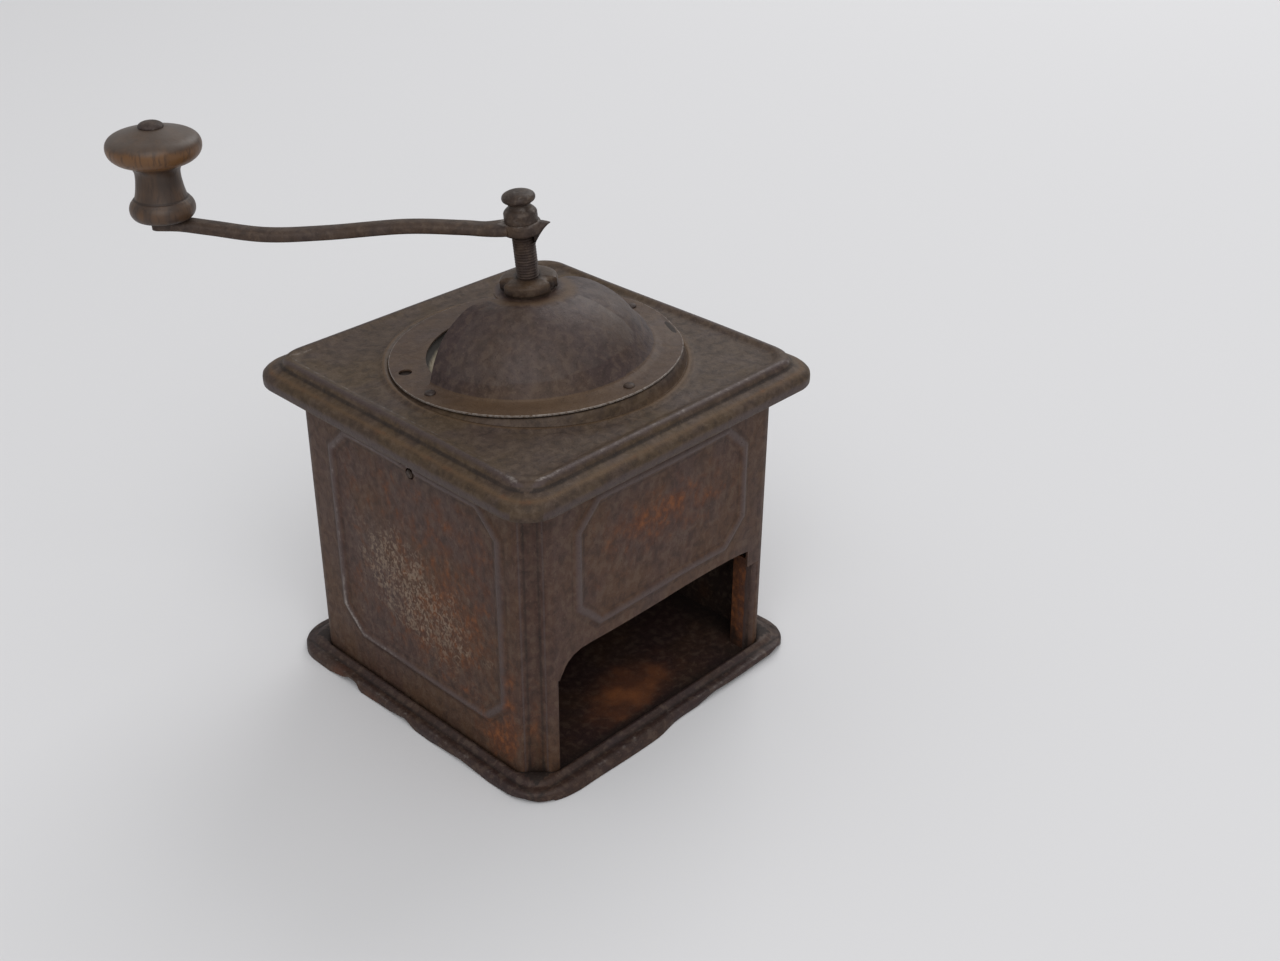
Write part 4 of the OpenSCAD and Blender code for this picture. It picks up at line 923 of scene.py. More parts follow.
def foot_radius(heading):
    """Radius on the flange at which the dome stands, larger towards one edge of the mouth."""
    return DOME_FOOT_R + FOOT_SPREAD * toward(heading, CUT_START)


def dome_surface(distance, heading):
    """The dented dome. Its height falls from the crown as a power of one minus a power of the distance,
    swells and is dented towards one edge of the mouth, dips round the nut, and its top is pushed over. Near
    its foot it is drawn down on to the askew flange."""
    distance = np.broadcast_to(distance, heading.shape)
    share = np.clip(distance / DOME_R, 0, 1)
    swelling = DOME_SWELL * np.cos(heading - np.radians(SWELL_HEADING)) * smoothstep(distance, 6, 20)
    fall = DOME_FALL + FALL_SPREAD * toward(heading, FALL_HEADING) ** 2
    w = (DOME_H + swelling) * (1 - share**DOME_POWER) ** fall
    w = w - DOME_DIP * (1 - smoothstep(distance, 8, 21.6))
    w = w - DOME_DENT * blob(distance, 0, (24, 0), (10, 1)) * toward(heading, DENT_HEADING) ** 4
    shift = DOME_PUSH * np.clip(w / DOME_H, 0, 1) * smoothstep(distance, 9, 23)
    push = np.radians(PUSH_HEADING)
    x = distance * np.cos(heading) + shift * np.cos(push)
    y = distance * np.sin(heading) + shift * np.sin(push)
    free = leaned(np.stack([x, y, w + DOME_SHEET], axis=-1))
    edge = [DOME_R * np.cos(heading), DOME_R * np.sin(heading), np.full_like(w, DOME_SHEET)]
    drop = on_flange(foot_radius(heading), heading, FOOT_RISE) - leaned(np.stack(edge, axis=-1))
    return free + drop * (smoothstep(distance, 33, DOME_R) ** 1.2)[..., None]


def hopper_sheets(size):
    """The flange, the fixed dome from cut edge to cut edge, the flange round the open mouth and the crown."""
    rim = size.flange_radius / MM
    flange = [rim, rim - 0.5, rim - 1.5, 48.8, 47.6, 46.5, 45.4, 44.3]
    fixed = np.radians(np.linspace(CUT_START, CUT_END, 185))
    open_part = np.radians(np.linspace(CUT_END, CUT_START + 360, 177))
    climb = DOME_R - (DOME_R - BUSH_HOLE_R) * (1 - np.cos(np.linspace(0, np.pi / 2, 44))) ** 0.9
    crown_rows = climb[climb < CROWN_R - 0.2]
    climb = np.concatenate([climb[climb > CROWN_R + 0.2], [CROWN_R], crown_rows])

    def bent(radius, heading):
        """The flange's rim is bent down a little at its back right."""
        droop = 1.5 * blob(np.degrees(heading), 0, (332, 0), (17, 1)) * smoothstep(radius, 44, rim)
        return on_flange(radius, heading, -droop)

    dome = np.stack([dome_surface(d, fixed) for d in climb])
    edge = []
    for radius in [*flange, 43.7]:
        fillet = np.clip(1 - (radius - foot_radius(fixed)) / FOOT_FILLET, 0, 1) ** 2
        edge.append(bent(radius, fixed) + FOOT_RISE * fillet[:, None] * TILT[:, 2])
    edge = np.stack(edge)
    closed_part = Sheet(np.concatenate([edge, dome]))
    mouth = Sheet(np.stack([bent(r, open_part % TURN) for r in [*flange, 43.1, 41.5, 40.0, MOUTH_R]]))
    heading = np.radians(SPARE_HOLE_AT + 360)
    near = np.flatnonzero(np.abs(open_part - heading) < np.radians(4.6))
    centre = on_flange(RIVET_RING, np.array(heading))
    patch = mouth.punch((2, 9), (near[0], near[-1]), centre, TILT[:, 2], SPARE_HOLE_R)
    crown_ring = Sheet(np.stack([dome_surface(d, open_part) for d in [CROWN_R, *crown_rows]]))
    return [closed_part, mouth, patch, crown_ring]


def hopper_wear_and_light(p):
    """Rubbed bare at the flange's rim, and a painted highlight in bare steel and crest colour on the dome's
    right. Bluish high on its left, golden on the flange, round the dome's foot and on the crown, darker round
    the nut, painted shade in the fold at the dome's foot, and a pale bloom low on the left."""
    x, y, w = in_lean(p).T
    far = np.hypot(x, y)
    turn = np.degrees(np.arctan2(y, x)) % 360
    seat = in_seat(p)
    out = np.hypot(seat[:, 0], seat[:, 1])
    flange = seat[:, 2] < 1.2
    rim = sizes().flange_radius / MM
    return {
        # The blob at heading 312 on the dome's right is a painted highlight; the rim term is rubbed steel
        "rub_and_highlight": 0.95 * swell(out - rim, 0.6) + 0.25 * blob(turn, w, (312, 14), (30, 7)) * (far > 18),
        # Darker round the nut, and painted shade in the fold at the dome's foot
        "grime_and_shade": 0.35 * swell(far - 9.0, 2.4) + 0.3 * swell(out - 43.4, 1.0) * flange,
        "gold_and_highlight": 0.55 * flange + 0.75 * swell(far - 14, 5.0) * (w > 18)
        + 0.5 * blob(turn, w, (222, 3.5), (40, 4)) + 0.6 * blob(turn, w, (328, 3), (34, 3.5)),
        # The blob at heading 320 on the dome's right is a painted highlight
        "cool": 0.45 * (far > 17) * (w > 6) * (turn > 180) * (turn < 300)
        + 0.6 * blob(turn, w, (320, 13), (26, 8)),
        "pale": 0.65 * blob(turn, w, (205, 4.5), (13, 3.2)),
    }


BOWL_R, BOWL_FOOT_R = 39.2, 24.6
BOWL_TOP, BOWL_DROP, BOWL_FLOOR = -3.0, 20.6, -24.0
NECK_R = 14.05
BOWL_UNDER = -1.05  # the rim's height in the flange's frame, just under its sheet


def bowl_sheets():
    """The tinned bowl: its rim lies under the flange, and its wall passes from the flange's frame at the top
    to the leaning frame at its floor and feed neck."""
    angle = np.linspace(0, TURN, 120, endpoint=False)
    rim = [(47.6, BOWL_UNDER), (44.5, BOWL_UNDER), (40.6, BOWL_UNDER), (39.6, -1.5)]
    rim = [on_flange(radius, angle, h) for radius, h in rim]
    heading = np.stack([np.cos(angle), np.sin(angle)], axis=-1)

    def ring(radius, w):
        return leaned(np.concatenate([radius * heading, np.full((len(angle), 1), w)], axis=1))

    top = on_flange(BOWL_R, angle, -2.4)
    wall = []
    for share in np.linspace(0, 1, 12):
        low = ring(BOWL_R + (BOWL_FOOT_R - BOWL_R) * share, BOWL_TOP - BOWL_DROP * share)
        wall.append((1 - share) ** 1.5 * top + (1 - (1 - share) ** 1.5) * low)
    floor = [
        (24.0, -23.95), (22.5, BOWL_FLOOR), (18, BOWL_FLOOR), (14.3, BOWL_FLOOR), (NECK_R, -24.2),
        (NECK_R, -24.9),
    ]
    floor = [ring(radius, w) for radius, w in floor]
    return [Sheet(np.stack([*rim, *wall, *floor]), closed=True)]


def bowl_shade(p):
    """Painted shadow under the flange's edge, and darker on the floor."""
    seat = in_seat(p)
    out = np.hypot(seat[:, 0], seat[:, 1])
    # The rim term is painted shadow under the flange's edge
    return {"grime_and_shade": smoothstep(out, 36.8, 38.6) + 0.35 * (out < 26)}


SHUTTER_START, SHUTTER_SPAN = 173.5, 179.0


def carried(profile, heading):
    """A profile of (radius, w) carried along these headings of the leaning frame."""
    c, s = np.cos(heading), np.sin(heading)
    return np.stack([np.stack([r * c, r * s, np.full_like(heading, w)], axis=-1) for r, w in profile])


def shutter_sheets():
    """A lower, even half dome on a ring round the bush, with a finger lip bent in at its leading edge."""
    knots = [
        (39.6, 1.1), (38.4, 2.7), (36.2, 4.6), (32.9, 7.4), (29.0, 10.6), (24.5, 13.8), (20, 16.3),
        (16, 17.9), (12, 18.75), (9.5, 18.9), (7.4, 18.9),
    ]
    profile = spline(knots, 60)
    half = np.radians(np.linspace(SHUTTER_START, SHUTTER_START + SHUTTER_SPAN, 120))
    rest = np.radians(np.linspace(SHUTTER_START + SHUTTER_SPAN, SHUTTER_START + 360, 100))
    wing = carried(profile, half)
    ring = carried(profile[profile[:, 0] <= CROWN_R], rest)
    foot = (profile[:, 0] > 30) & (profile[:, 0] < 38.5)
    inward = np.array([-3.3 * np.cos(half[-1]), -3.3 * np.sin(half[-1]), -2.2])
    lip = np.stack([wing[foot, -1] + share * inward for share in (0, 0.5, 1)], axis=1)
    return [Sheet(leaned(part)) for part in (wing, ring, lip)]


RIVET_HEAD, RIVET_HEIGHT, RIVET_SHANK = 1.9, 0.75, 1.3


def rivet_sheets():
    """Four round heads on the flange, each a low half-ellipse on a short shank."""
    quarter = np.linspace(np.pi / 2, 0, 9)
    head = [(RIVET_HEAD * np.sin(t), 0.25 + RIVET_HEIGHT * np.cos(t)) for t in quarter]
    profile = [(RIVET_SHANK, -2.0), (RIVET_SHANK, -0.4), (RIVET_HEAD, -0.1), *head]
    made = []
    for turn in np.radians(RIVETS):
        place = np.array([RIVET_RING * np.cos(turn), RIVET_RING * np.sin(turn), 0])
        made.append(Sheet(seated(turned(profile, 24) + place), closed=True))
    return made


# Shapes: crank, nuts and knob

# Heights w of the leaning frame and radii of the nut and of the crank's eye
NUT = {"low": 23.66, "high": 26.9, "radius": 10.0, "notch": 2.3, "bore": 3.95, "inside": 8.4}
NUT_NOTCHES = (155.0, 289.0, 42.0)
EYE = {"low": 42.66, "high": 46.76, "radius": 6.6, "bore": 3.86}
EYE_MIDDLE = leaned(np.array([0, 0, (EYE["low"] + EYE["high"]) / 2]))
CRANK_HEADING = np.radians(133.0)
BAR_HALF_WIDTH, BAR_HALF_THICKNESS = 3.5, 2.1
BAR_ROOT_SPREAD = 1.6
BAR_END, BAR_ROUNDING = 1.6, 3.4  # how far the end reaches past the path, and where it starts to narrow
NOSE_ROOT, NOSE_LENGTH = 4.05, 5.6
# Headings once round an oval section
OVAL = np.linspace(0, TURN, 40, endpoint=False)
CAP_NUT_R = 5.7
PIN_R, PIN_HEAD_R = 1.95, 4.2
KNOB_BORE_R = 2.05


def nut_sheets():
    """A notched disc over the washer: at each heading its edge is the nearer of the rim and the notch's
    circle, as the smaller root of the law of cosines; the rows round its edges off."""
    angle = np.linspace(0, TURN, 240, endpoint=False)
    low, high, bore = NUT["low"], NUT["high"], NUT["bore"]
    edge = np.full_like(angle, NUT["radius"])
    for turn in np.radians(NUT_NOTCHES):
        off = (angle - turn + np.pi) % TURN - np.pi
        root = NUT["notch"] ** 2 - (NUT["radius"] * np.sin(off)) ** 2
        inside = (root > 0) & (np.abs(off) < 1)
        cut = NUT["radius"] * np.cos(off) - np.sqrt(np.maximum(root, 0))
        edge = np.where(inside, np.minimum(edge, cut), edge)

    def even(radius):
        return np.full_like(angle, radius)

    rows = [  # inset from the edge, height, least radius
        (-0.7, low - 0.9, 8.7), (-0.2, low - 0.75, 8.9), (0.0, low - 0.4, 8.9), (0.0, low, 7.0),
        (0.0, high - 1.3, 0), (-0.2, high - 0.85, 0), (-0.7, high - 0.5, 0), (-1.5, high - 0.25, 0),
        (-2.8, high - 0.1, 0), (-4.4, high, 0),
    ]
    made = [(even(bore), low), (even(NUT["inside"]), low), (even(NUT["inside"]), low - 0.85)]
    made += [(np.maximum(edge + inset, max(least, bore + 0.4)), w) for inset, w, least in rows]
    made += [(even(bore), high), (even(bore), low)]
    return [Sheet(leaned(loft(angle, made)), closed=True)]


def along_crank(outward, sideways, height):
    """Places outwards along the crank's heading, sideways from it and upwards, as points."""
    c, s = np.cos(CRANK_HEADING), np.sin(CRANK_HEADING)
    return np.stack([c * outward - s * sideways, s * outward + c * sideways, height], axis=-1)


def capped(rows):
    """Rows of a tube, with both ends drawn in to the middle of their own row."""
    first, last = (np.broadcast_to(rows[i].mean(axis=0), rows[i].shape)[None] for i in (0, -1))
    return np.concatenate([first, rows, last])


def bar_sheet():
    """A half-round bar: a flattened oval section, fuller below, carried square to a smooth path from the eye
    to its rounded end in the crank's upright plane."""
    knots = [
        (4.6, -0.4), (12, -1.0), (20.3, -0.6), (39.5, -0.5), (65.8, -3.1), (86.2, -4.1), (104.1, -2.0),
        (113.7, -0.8), (119.7, -0.7), (123.4, -0.75),
    ]
    path = spline(np.array(knots) + np.array([0, EYE_MIDDLE[2]]), 130)
    slope = np.gradient(path, axis=0)
    slope /= np.linalg.norm(slope, axis=1, keepdims=True)
    tip = np.clip((path[-1, 0] + BAR_END - path[:, 0]) / BAR_ROUNDING, 0, 1)
    round_end = np.sqrt(1 - (1 - tip) ** 2)
    half_w = BAR_HALF_WIDTH * round_end + BAR_ROOT_SPREAD * (1 - smoothstep(path[:, 0], 5, 14))
    half_t = BAR_HALF_THICKNESS * (0.35 + 0.65 * round_end)
    across = np.sign(np.cos(OVAL)) * np.abs(np.cos(OVAL)) ** 0.75
    up = np.where(np.sin(OVAL) > 0, np.abs(np.sin(OVAL)) ** 0.9, -np.abs(np.sin(OVAL)) ** 0.45)
    outward = path[:, :1] - slope[:, 1:] * half_t[:, None] * up
    height = path[:, 1:] + slope[:, :1] * half_t[:, None] * up
    sideways = -half_w[:, None] * across
    rows = capped(np.stack([outward, sideways, height], axis=-1)[::-1])
    points = along_crank(*rows.transpose(2, 0, 1))
    points[..., :2] += EYE_MIDDLE[:2]
    return Sheet(points, closed=True)


def eye_sheet():
    """The eye that the bar ends in, a turned ring with rounded edges."""
    low, high, r, bore = EYE["low"], EYE["high"], EYE["radius"], EYE["bore"]
    ring = [
        (bore, low), (r - 0.7, low), (r - 0.2, low + 0.25), (r, low + 0.9), (r, high - 0.9),
        (r - 0.25, high - 0.25), (r - 0.8, high), (bore, high), (bore, low),
    ]
    return Sheet(leaned(turned(ring, 72)), closed=True)


def nose_sheet():
    """The torn tip behind the eye: a stack of ovals that narrow away from it."""
    low, high = EYE["low"], EYE["high"]
    out = np.linspace(0, 1, 14)
    top = high - 0.2 - 0.9 * out**1.5
    bottom = low + 1 - 4.9 * (1 - out) ** 1.6 + (top[-1] - low - 1.25) * out**0.9
    half_w = 3.6 * (1 - out**1.4) + 0.25
    rows = [
        np.broadcast_to(-(NOSE_ROOT + NOSE_LENGTH * out)[:, None], (len(out), len(OVAL))),
        half_w[:, None] * np.sin(OVAL),
        (top + bottom)[:, None] / 2 + ((top - bottom) / 2)[:, None] * np.cos(OVAL),
    ]
    rows = capped(np.stack(rows, axis=-1))
    return Sheet(leaned(along_crank(*rows.transpose(2, 0, 1))), closed=True)


def crank_sheets():
    """The crank's bar, eye and torn tip."""
    return [bar_sheet(), eye_sheet(), nose_sheet()]


def cap_nut_sheets():
    """Turned foot, neck and rounded head."""
    r, low = CAP_NUT_R, EYE["high"] + 0.02
    knots = [
        (r - 0.25, 0), (r, 0.3), (r, 2.6), (r - 0.1, 3.4), (r - 0.8, 4.3), (4.1, 5.0), (3.75, 5.8),
        (3.9, 6.5), (4.8, 7.0), (5.5, 7.6), (r, 8.4), (5.3, 9.3), (4.1, 10.0), (2.4, 10.4), (0, 10.55),
    ]
    profile = np.concatenate([[[0, 0]], spline(knots, 70)])
    profile[:, 1] += low
    return [Sheet(leaned(turned(np.maximum(profile, 0), 72)), closed=True)]


def round_knob_axis(profile, columns):
    """A profile of (radius, height) carried once round the knob's upright axis."""
    points = turned(profile, columns)
    points[..., :2] += KNOB_AT[:2]
    return [Sheet(points, closed=True)]


def knob_sheets():
    """Turned beech: foot bead, step, waisted neck and a broad rounded head, round the pin."""
    knots = [
        (8.3, 0), (9.7, 0.5), (10.6, 1.9), (10.8, 3.5), (10.4, 5.0), (9.6, 6.1), (9.1, 6.7), (8.8, 6.9),
        (8.5, 7.6), (8.0, 9.6), (7.6, 12), (7.4, 14), (7.5, 16.2), (8.5, 18.0), (10.6, 19.3), (13.0, 20.3),
        (14.8, 22), (15.5, 24.2), (15.0, 26.4), (13.3, 27.9), (10.2, 28.9), (6.6, 30.0), (4.6, 30.6),
        (3.0, 30.9), (2.1, 30.9),
    ]
    profile = np.concatenate([[[KNOB_BORE_R, 0.0]], spline(knots, 150), [[KNOB_BORE_R, 0.0]]])
    profile[:, 1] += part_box("knob")[0].z / MM
    return round_knob_axis(profile, 96)


def knob_pin_sheets():
    """The pin through the knob: a riveted foot under the bar, a shank and a domed head."""
    low, high = (corner.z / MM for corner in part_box("knob_pin"))
    head = [(PIN_HEAD_R * np.sin(t), high - 2.3 + 1.8 * np.cos(t)) for t in np.linspace(np.pi / 2, 0, 10)]
    profile = [
        (0, low), (1.6, low), (2.6, low + 0.35), (2.8, low + 0.85), (PIN_R, low + 0.95), (PIN_R, high - 3.0),
        (PIN_HEAD_R - 0.3, high - 2.9), *head,
    ]
    return round_knob_axis(profile, 48)


def iron_wear(p):
    """Even wear: a little rubbed, a little dirty, a little bluish."""
    return {"rub_and_highlight": 0.3, "grime_and_shade": 0.15, "cool": 0.3}


def eye_wear(p):
    """Rubbed round the eye's upper edge, darker on its underside."""
    x, y, w = in_lean(p).T
    far = np.hypot(x, y)
    return {
        "rub_and_highlight": 0.5 * swell(w - EYE["high"], 0.5) * (far < 8) + 0.1,
        "grime_and_shade": 0.7 * (w < EYE["low"] + 0.5) * (far < 12),
        "cool": 0.25,
        "gold_and_highlight": 0.3,
    }


def nut_wear_and_shade(p):
    """Rubbed round the upper edge, golden from old oil above, a painted shadow along the lower edge, and
    darker in the notches and by the thread.
    """
    x, y, w = in_lean(p).T
    far = np.hypot(x, y)
    low, high = NUT["low"], NUT["high"]
    return {
        "rub_and_highlight": 0.3 * swell(w - high + 0.4, 0.9) * (far > 7),
        "gold_and_highlight": 0.5 * (far > 4.5) * (w > 24.6),
        # The first term is a painted shadow along the nut's lower edge; the others darken the notches and by
        # the thread
        "grime_and_shade": 0.6 * (1 - smoothstep(w, low - 0.9, low + 0.6)) + 0.5 * (far < 5.0)
        + 0.4 * (far < 9.2) * (w < high - 1.2),
    }


def knob_wear_and_light(p):
    """A golden band round the head, partly a painted highlight that is strongest on the side facing the camera
    and the key light, a greyed top, darker in the neck, dirt in the step, and painted shade under the head."""
    z = p[:, 2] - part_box("knob")[0].z / MM
    away = p[:, :2] - KNOB_AT[:2]
    turn = np.degrees(np.arctan2(away[:, 1], away[:, 0])) % 360
    band = swell(z - 22.5, 6.5)
    return {
        # The blob towards heading 225, the side facing the camera and the key light, is a painted highlight
        "gold_and_highlight": 0.9 * band * blob(turn, z, (225, 22.5), (75, 8)) + 0.55 * band + 0.25 * swell(z - 3.5, 3),
        "rub_and_highlight": 0.8 * smoothstep(z, 24.5, 28) + 0.2 * swell(z - 3.5, 2.5),
        # The term at z 18.2 is painted shade under the head's overhang
        "grime_and_shade": 0.45 * swell(z - 13, 5.5) + 0.8 * swell(z - 7.1, 0.8) + 0.6 * (z < 1)
        + 0.35 * swell(z - 18.2, 1.6),
    }


# Panel settings


def length(name, description, default, precision=4):
    """A length setting in metres."""
    return FloatProperty(
        name=name, description=description, unit="LENGTH", default=default, precision=precision)


def node_width(node):
    """The width of a node's box along x in metres."""
    low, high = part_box(node)
    return high.x - low.x


class GrinderSizes(bpy.types.PropertyGroup):
    """Driving sizes, each from the frame's own boxes where it has one."""

    base_width: length("Base width", "Width of the base over its rolled lip", node_width("base_plate"))
    base_corner: length("Base corner", "Radius of the base's corners", 0.015)
    body_width: length("Body width", "Width of the box over its flat sides", 0.124)
    wall_top: length("Wall top", "Height at which the box ends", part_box("body_shell")[1].z)
    lid_width: length("Lid width", "Width of the lid over its skirt", node_width("lid"))
    lid_panel: length("Lid panel", "Height of the lid's flat panel", 0.1233)
    seat_bead: length("Seat bead", "Radius of the round bead on the lid", 0.0533)
    flange_radius: length("Flange radius", "Radius of the hopper's flange", 0.0515)
    flange_sheet: length("Flange sheet", "Thickness of the flange and the dome", 0.00075, precision=5)


def tint(name, description, code):
    """A colour setting whose default is an sRGB hex code."""
    return FloatVectorProperty(
        name=name, description=description, subtype="COLOR", size=4, min=0, max=1, default=linear(code))


class GrinderColours(bpy.types.PropertyGroup):
    """Ground tones of the finishes and of the rust that lies on them."""

    base: tint("Base", "Browned steel of the base", "#322220")
    body: tint("Body", "Browned steel of the box", "#452f27")
    lid: tint("Lid", "Browned steel of the lid", "#433429")
    dome: tint("Dome", "Browned steel of the hopper", "#3b2d2b")
    iron: tint("Crank", "Forged iron of the crank", "#372c28")
    nuts: tint("Nuts", "Oiled iron of the nuts", "#32261f")
    wood: tint("Knob", "Stained beech of the knob", "#3d2f26")
    rust_dark: tint("Dark rust", "Old rust in the foot and the folds", "#552f1a")
    rust_light: tint("Light rust", "Fresh rust on the old", "#87502a")


class StudioSettings(bpy.types.PropertyGroup):
    """The floor and the light round the grinder."""

    floor: tint("Floor", "Colour of the paper on the table", "#dfdfe1")
    sky: FloatProperty(
        name="Sky", description="Strength of the even light from all round", default=0.5, min=0)
    key: FloatProperty(
        name="Key light", description="Large soft light above the camera", unit="POWER", default=52.0, min=0)
    back: FloatProperty(
        name="Back light", description="Soft light from the right, behind", unit="POWER", default=18.0, min=0)
    lens: FloatProperty(name="Lens", description="Focal length in millimetres", default=44.28, min=1)


def sizes():
    """The panel's sizes."""
    return bpy.context.scene.grinder_sizes


# Floor, light and camera, in metres

FLOOR_REACH = 6.0
KEY_AT, KEY_SIZE = (-1.4, -1.75, 2.2), 3.0
BACK_AT, BACK_SIZE = (1.8, 0.6, 1.7), 1.6
# The camera that was fitted to the photo: place, turns in radians and sensor width in millimetres
CAMERA_AT = (-0.33610, -0.36971, 0.36559)
CAMERA_YAW, CAMERA_PITCH, CAMERA_ROLL = -0.81093, 0.529543, 0.0103533
SENSOR_WIDTH = 36.0


def lay_floor(scene, colour):
    """A square of matt paper under the grinder."""
    r = FLOOR_REACH
    mesh = bpy.data.meshes.new("floor")
    mesh.from_pydata([(-r, -r, 0), (r, -r, 0), (r, r, 0), (-r, r, 0)], [], [(0, 1, 2, 3)])
    floor = bpy.data.objects.new("floor", mesh)
    scene.collection.objects.link(floor)
    paper = bpy.data.materials.new("matt_paper")
    paper.use_nodes = True
    shader = paper.node_tree.nodes["Principled BSDF"]
    shader.inputs["Base Color"].default_value = colour
    shader.inputs["Roughness"].default_value = 0.85
    shader.inputs["Specular IOR Level"].default_value = 0.2
    mesh.materials.append(paper)


def light(scene, studio):
    """Even light from all round and two square lamps, each turned to the middle of the base."""
    world = bpy.data.worlds.new("sky")
    world.use_nodes = True
    background = world.node_tree.nodes["Background"]
    background.inputs["Color"].default_value = (1, 1, 1, 1)
    background.inputs["Strength"].default_value = studio.sky
    scene.world = world
    lamps = (("key", studio.key, KEY_SIZE, KEY_AT), ("back", studio.back, BACK_SIZE, BACK_AT))
    for name, power, size, place in lamps:
        lamp = bpy.data.lights.new(name, "AREA")
        lamp.energy, lamp.size = power, size
        holder = bpy.data.objects.new(name, lamp)
        holder.location = place
        holder.rotation_euler = Vector(place).to_track_quat("Z", "Y").to_euler()
        scene.collection.objects.link(holder)


def set_camera(scene, lens):
    """The fitted camera: turned by its yaw and pitch, and then rolled about its own axis."""
    camera = bpy.data.objects.new("camera", bpy.data.cameras.new("camera"))
    camera.data.lens, camera.data.sensor_width = lens, SENSOR_WIDTH
    right = np.array([np.cos(CAMERA_YAW), np.sin(CAMERA_YAW), 0])
    level = np.cos(CAMERA_PITCH)
    back = np.array([np.sin(CAMERA_YAW) * level, -np.cos(CAMERA_YAW) * level, np.sin(CAMERA_PITCH)])
    up = np.cross(back, right)
    rolled_right = np.cos(CAMERA_ROLL) * right + np.sin(CAMERA_ROLL) * up
    rolled_up = np.cos(CAMERA_ROLL) * up - np.sin(CAMERA_ROLL) * right
    turn = Matrix(np.stack([rolled_right, rolled_up, back], axis=1).tolist()).to_4x4()
    camera.matrix_world = Matrix.Translation(CAMERA_AT) @ turn
    scene.collection.objects.link(camera)
    scene.camera = camera


# Operators

KEPT_NODES = {
    "lid_brackets": "inside", "side_screws": "nut", "top_bush": "iron", "thrust_washer": "iron",
    "grinding_case": "cast", "outer_burr": "cast", "inner_burr": "cast", "burr_pin": "bright",
    "case_screws": "bright", "lower_strap": "inside", "strap_screws": "bright", "spindle": "iron",
}


class GRINDER_OT_finishes(bpy.types.Operator):
    """Makes the finishes and gives the CAD nodes that stay their own"""

    bl_idname = "grinder.finishes"
    bl_label = "Finishes"

    def execute(self, context):
        MADE.update(dress(context.scene.grinder_colours))
        for node, finish in KEPT_NODES.items():
            materials = frame["nodes"][node].data.materials
            materials.clear()
            materials.append(MADE[finish])
        return {"FINISHED"}


class GRINDER_OT_base(bpy.types.Operator):
    """Builds the base with its bent lip"""

    bl_idname = "grinder.base"
    bl_label = "Base"

    def execute(self, context):
        make_piece("base", base_sheets(sizes()), "housing", ["base_plate"],
                   [MADE["base"]], base_wear, wall=1.0, edge=0.2)
        return {"FINISHED"}


class GRINDER_OT_body(bpy.types.Operator):
    """Builds the box with its pressed panels, fluted corners and drawer opening"""

    bl_idname = "grinder.body"
    bl_label = "Body"

    def execute(self, context):
        make_piece("body", body_sheets(sizes()), "housing", ["body_shell"],
                   [MADE["body"], MADE["inside"]], body_wear_and_light, wall=0.9, edge=0.2)
        return {"FINISHED"}


class GRINDER_OT_lid(bpy.types.Operator):
    """Builds the lid with its ridge, round bead and leaning collar"""

    bl_idname = "grinder.lid"
    bl_label = "Lid"

    def execute(self, context):
        make_piece("lid_top", lid_sheets(sizes()), "housing", ["lid"],
                   [MADE["lid"], MADE["inside"]], lid_wear_and_light, wall=0.9, edge=0.2)
        return {"FINISHED"}


class GRINDER_OT_hopper(bpy.types.Operator):
    """Builds the flanged dome, its rivets and the turning shutter"""

    bl_idname = "grinder.hopper"
    bl_label = "Hopper"

    def execute(self, context):
        make_piece("dome", hopper_sheets(sizes()), "housing", ["hopper_dome"],
                   [MADE["dome"], MADE["inside"]], hopper_wear_and_light, wall=sizes().flange_sheet / MM, edge=0.18)
        make_piece("bowl", bowl_sheets(), "housing", ["hopper_bowl"],
                   [MADE["tin"]], bowl_shade, wall=0.9)
        make_piece("rivets", rivet_sheets(), "housing", ["dome_rivets"],
                   [MADE["iron"]], iron_wear)
        make_piece("shutter", shutter_sheets(), "shutter", ["hopper_shutter"],
                   [MADE["dome"]], wall=0.6, edge=0.15)
        return {"FINISHED"}


class GRINDER_OT_crank(bpy.types.Operator):
    """Builds the adjusting nut, the crank with its eye and torn tip, and the cap nut"""

    bl_idname = "grinder.crank"
    bl_label = "Crank"

    def execute(self, context):
        make_piece("nut", nut_sheets(), "adjuster", ["adjusting_nut"],
                   [MADE["nut"]], nut_wear_and_shade, edge=0.12)
        make_piece("crank", crank_sheets(), "rotor", ["crank_arm"], [MADE["iron"]], eye_wear)
        make_piece("cap", cap_nut_sheets(), "rotor", ["cap_nut"], [MADE["nut"]], iron_wear)
        return {"FINISHED"}


class GRINDER_OT_knob(bpy.types.Operator):
    """Builds the turned knob and its pin"""

    bl_idname = "grinder.knob"
    bl_label = "Knob"

    def execute(self, context):
        make_piece("handle", knob_sheets(), "crank_knob", ["knob"], [MADE["wood"]], knob_wear_and_light)
        make_piece("pin", knob_pin_sheets(), "rotor", ["knob_pin"], [MADE["iron"]], iron_wear)
        return {"FINISHED"}


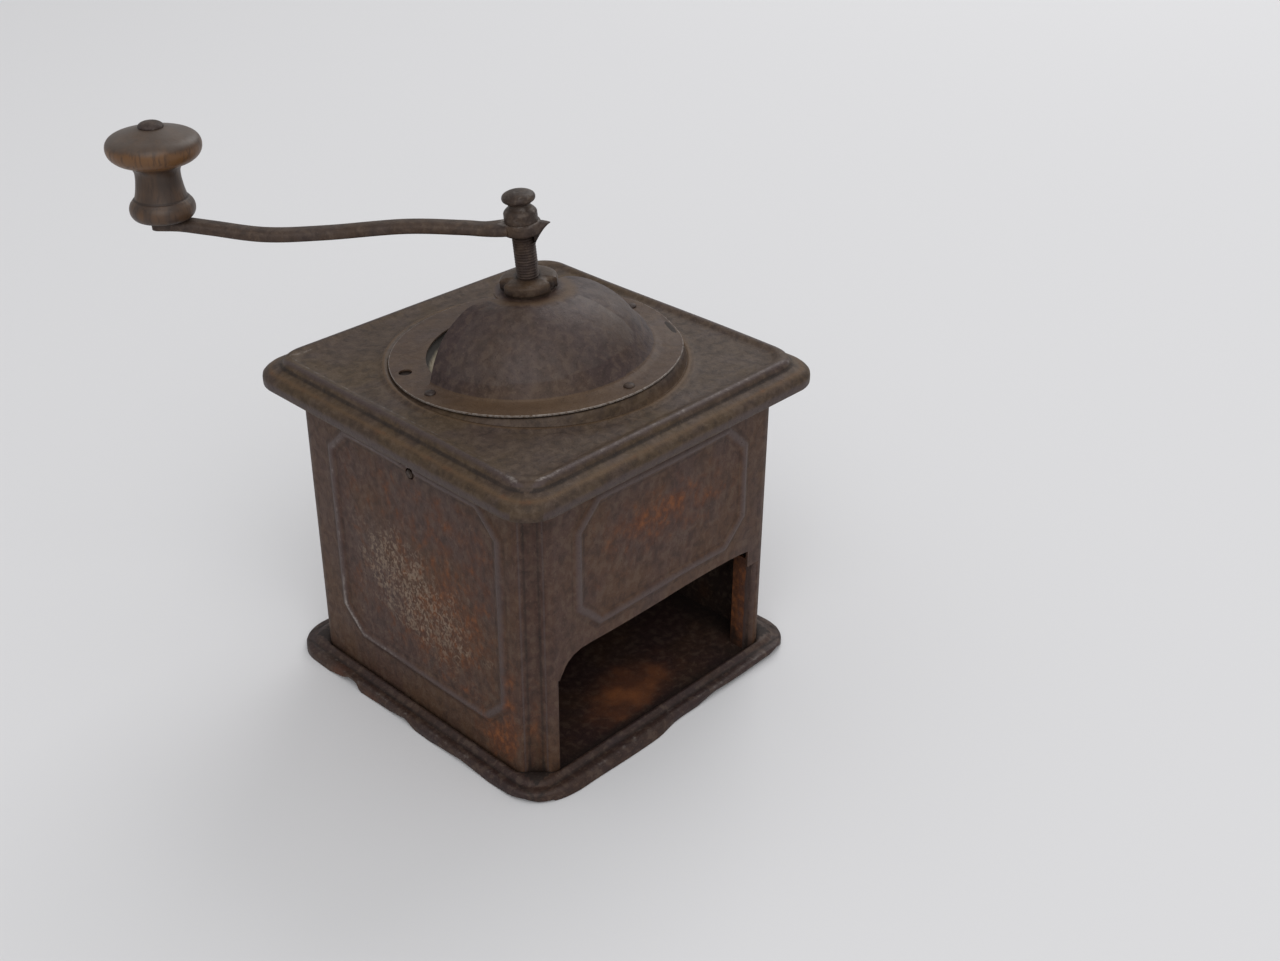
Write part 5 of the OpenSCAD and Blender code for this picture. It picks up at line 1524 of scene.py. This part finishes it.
class GRINDER_OT_stage(bpy.types.Operator):
    """Sets the paper floor, the soft light and the camera"""

    bl_idname = "grinder.stage"
    bl_label = "Stage"

    def execute(self, context):
        scene = context.scene
        scene.view_settings.view_transform = "Standard"
        lay_floor(scene, scene.grinder_studio.floor)
        light(scene, scene.grinder_studio)
        set_camera(scene, scene.grinder_studio.lens)
        return {"FINISHED"}


class GRINDER_PT_panel(bpy.types.Panel):
    """Lists the sizes, the colours, the light and the steps that build the grinder"""

    bl_label = "Spice grinder"
    bl_idname = "GRINDER_PT_panel"
    bl_space_type = "VIEW_3D"
    bl_region_type = "UI"
    bl_category = "Grinder"

    def draw(self, context):
        scene = context.scene
        for settings in (scene.grinder_sizes, scene.grinder_colours, scene.grinder_studio):
            box = self.layout.box()
            for name in settings.__annotations__:
                box.prop(settings, name)
        for operator in OPERATORS:
            self.layout.operator(operator.bl_idname)


OPERATORS = (GRINDER_OT_finishes, GRINDER_OT_base, GRINDER_OT_body, GRINDER_OT_lid, GRINDER_OT_hopper,
             GRINDER_OT_crank, GRINDER_OT_knob, GRINDER_OT_stage)
CLASSES = (GrinderSizes, GrinderColours, StudioSettings, *OPERATORS, GRINDER_PT_panel)


def register():
    """Registers the classes and hangs their settings on the scene."""
    for made in CLASSES:
        bpy.utils.register_class(made)
    bpy.types.Scene.grinder_sizes = PointerProperty(type=GrinderSizes)
    bpy.types.Scene.grinder_colours = PointerProperty(type=GrinderColours)
    bpy.types.Scene.grinder_studio = PointerProperty(type=StudioSettings)


def unregister():
    """Undoes register, last first."""
    del bpy.types.Scene.grinder_studio
    del bpy.types.Scene.grinder_colours
    del bpy.types.Scene.grinder_sizes
    for made in reversed(CLASSES):
        bpy.utils.unregister_class(made)


def main():
    """Registers the add-on and runs its steps in order."""
    register()
    bpy.ops.grinder.finishes()
    bpy.ops.grinder.base()
    bpy.ops.grinder.body()
    bpy.ops.grinder.lid()
    bpy.ops.grinder.hopper()
    bpy.ops.grinder.crank()
    bpy.ops.grinder.knob()
    bpy.ops.grinder.stage()


if __name__ == "__main__":
    main()
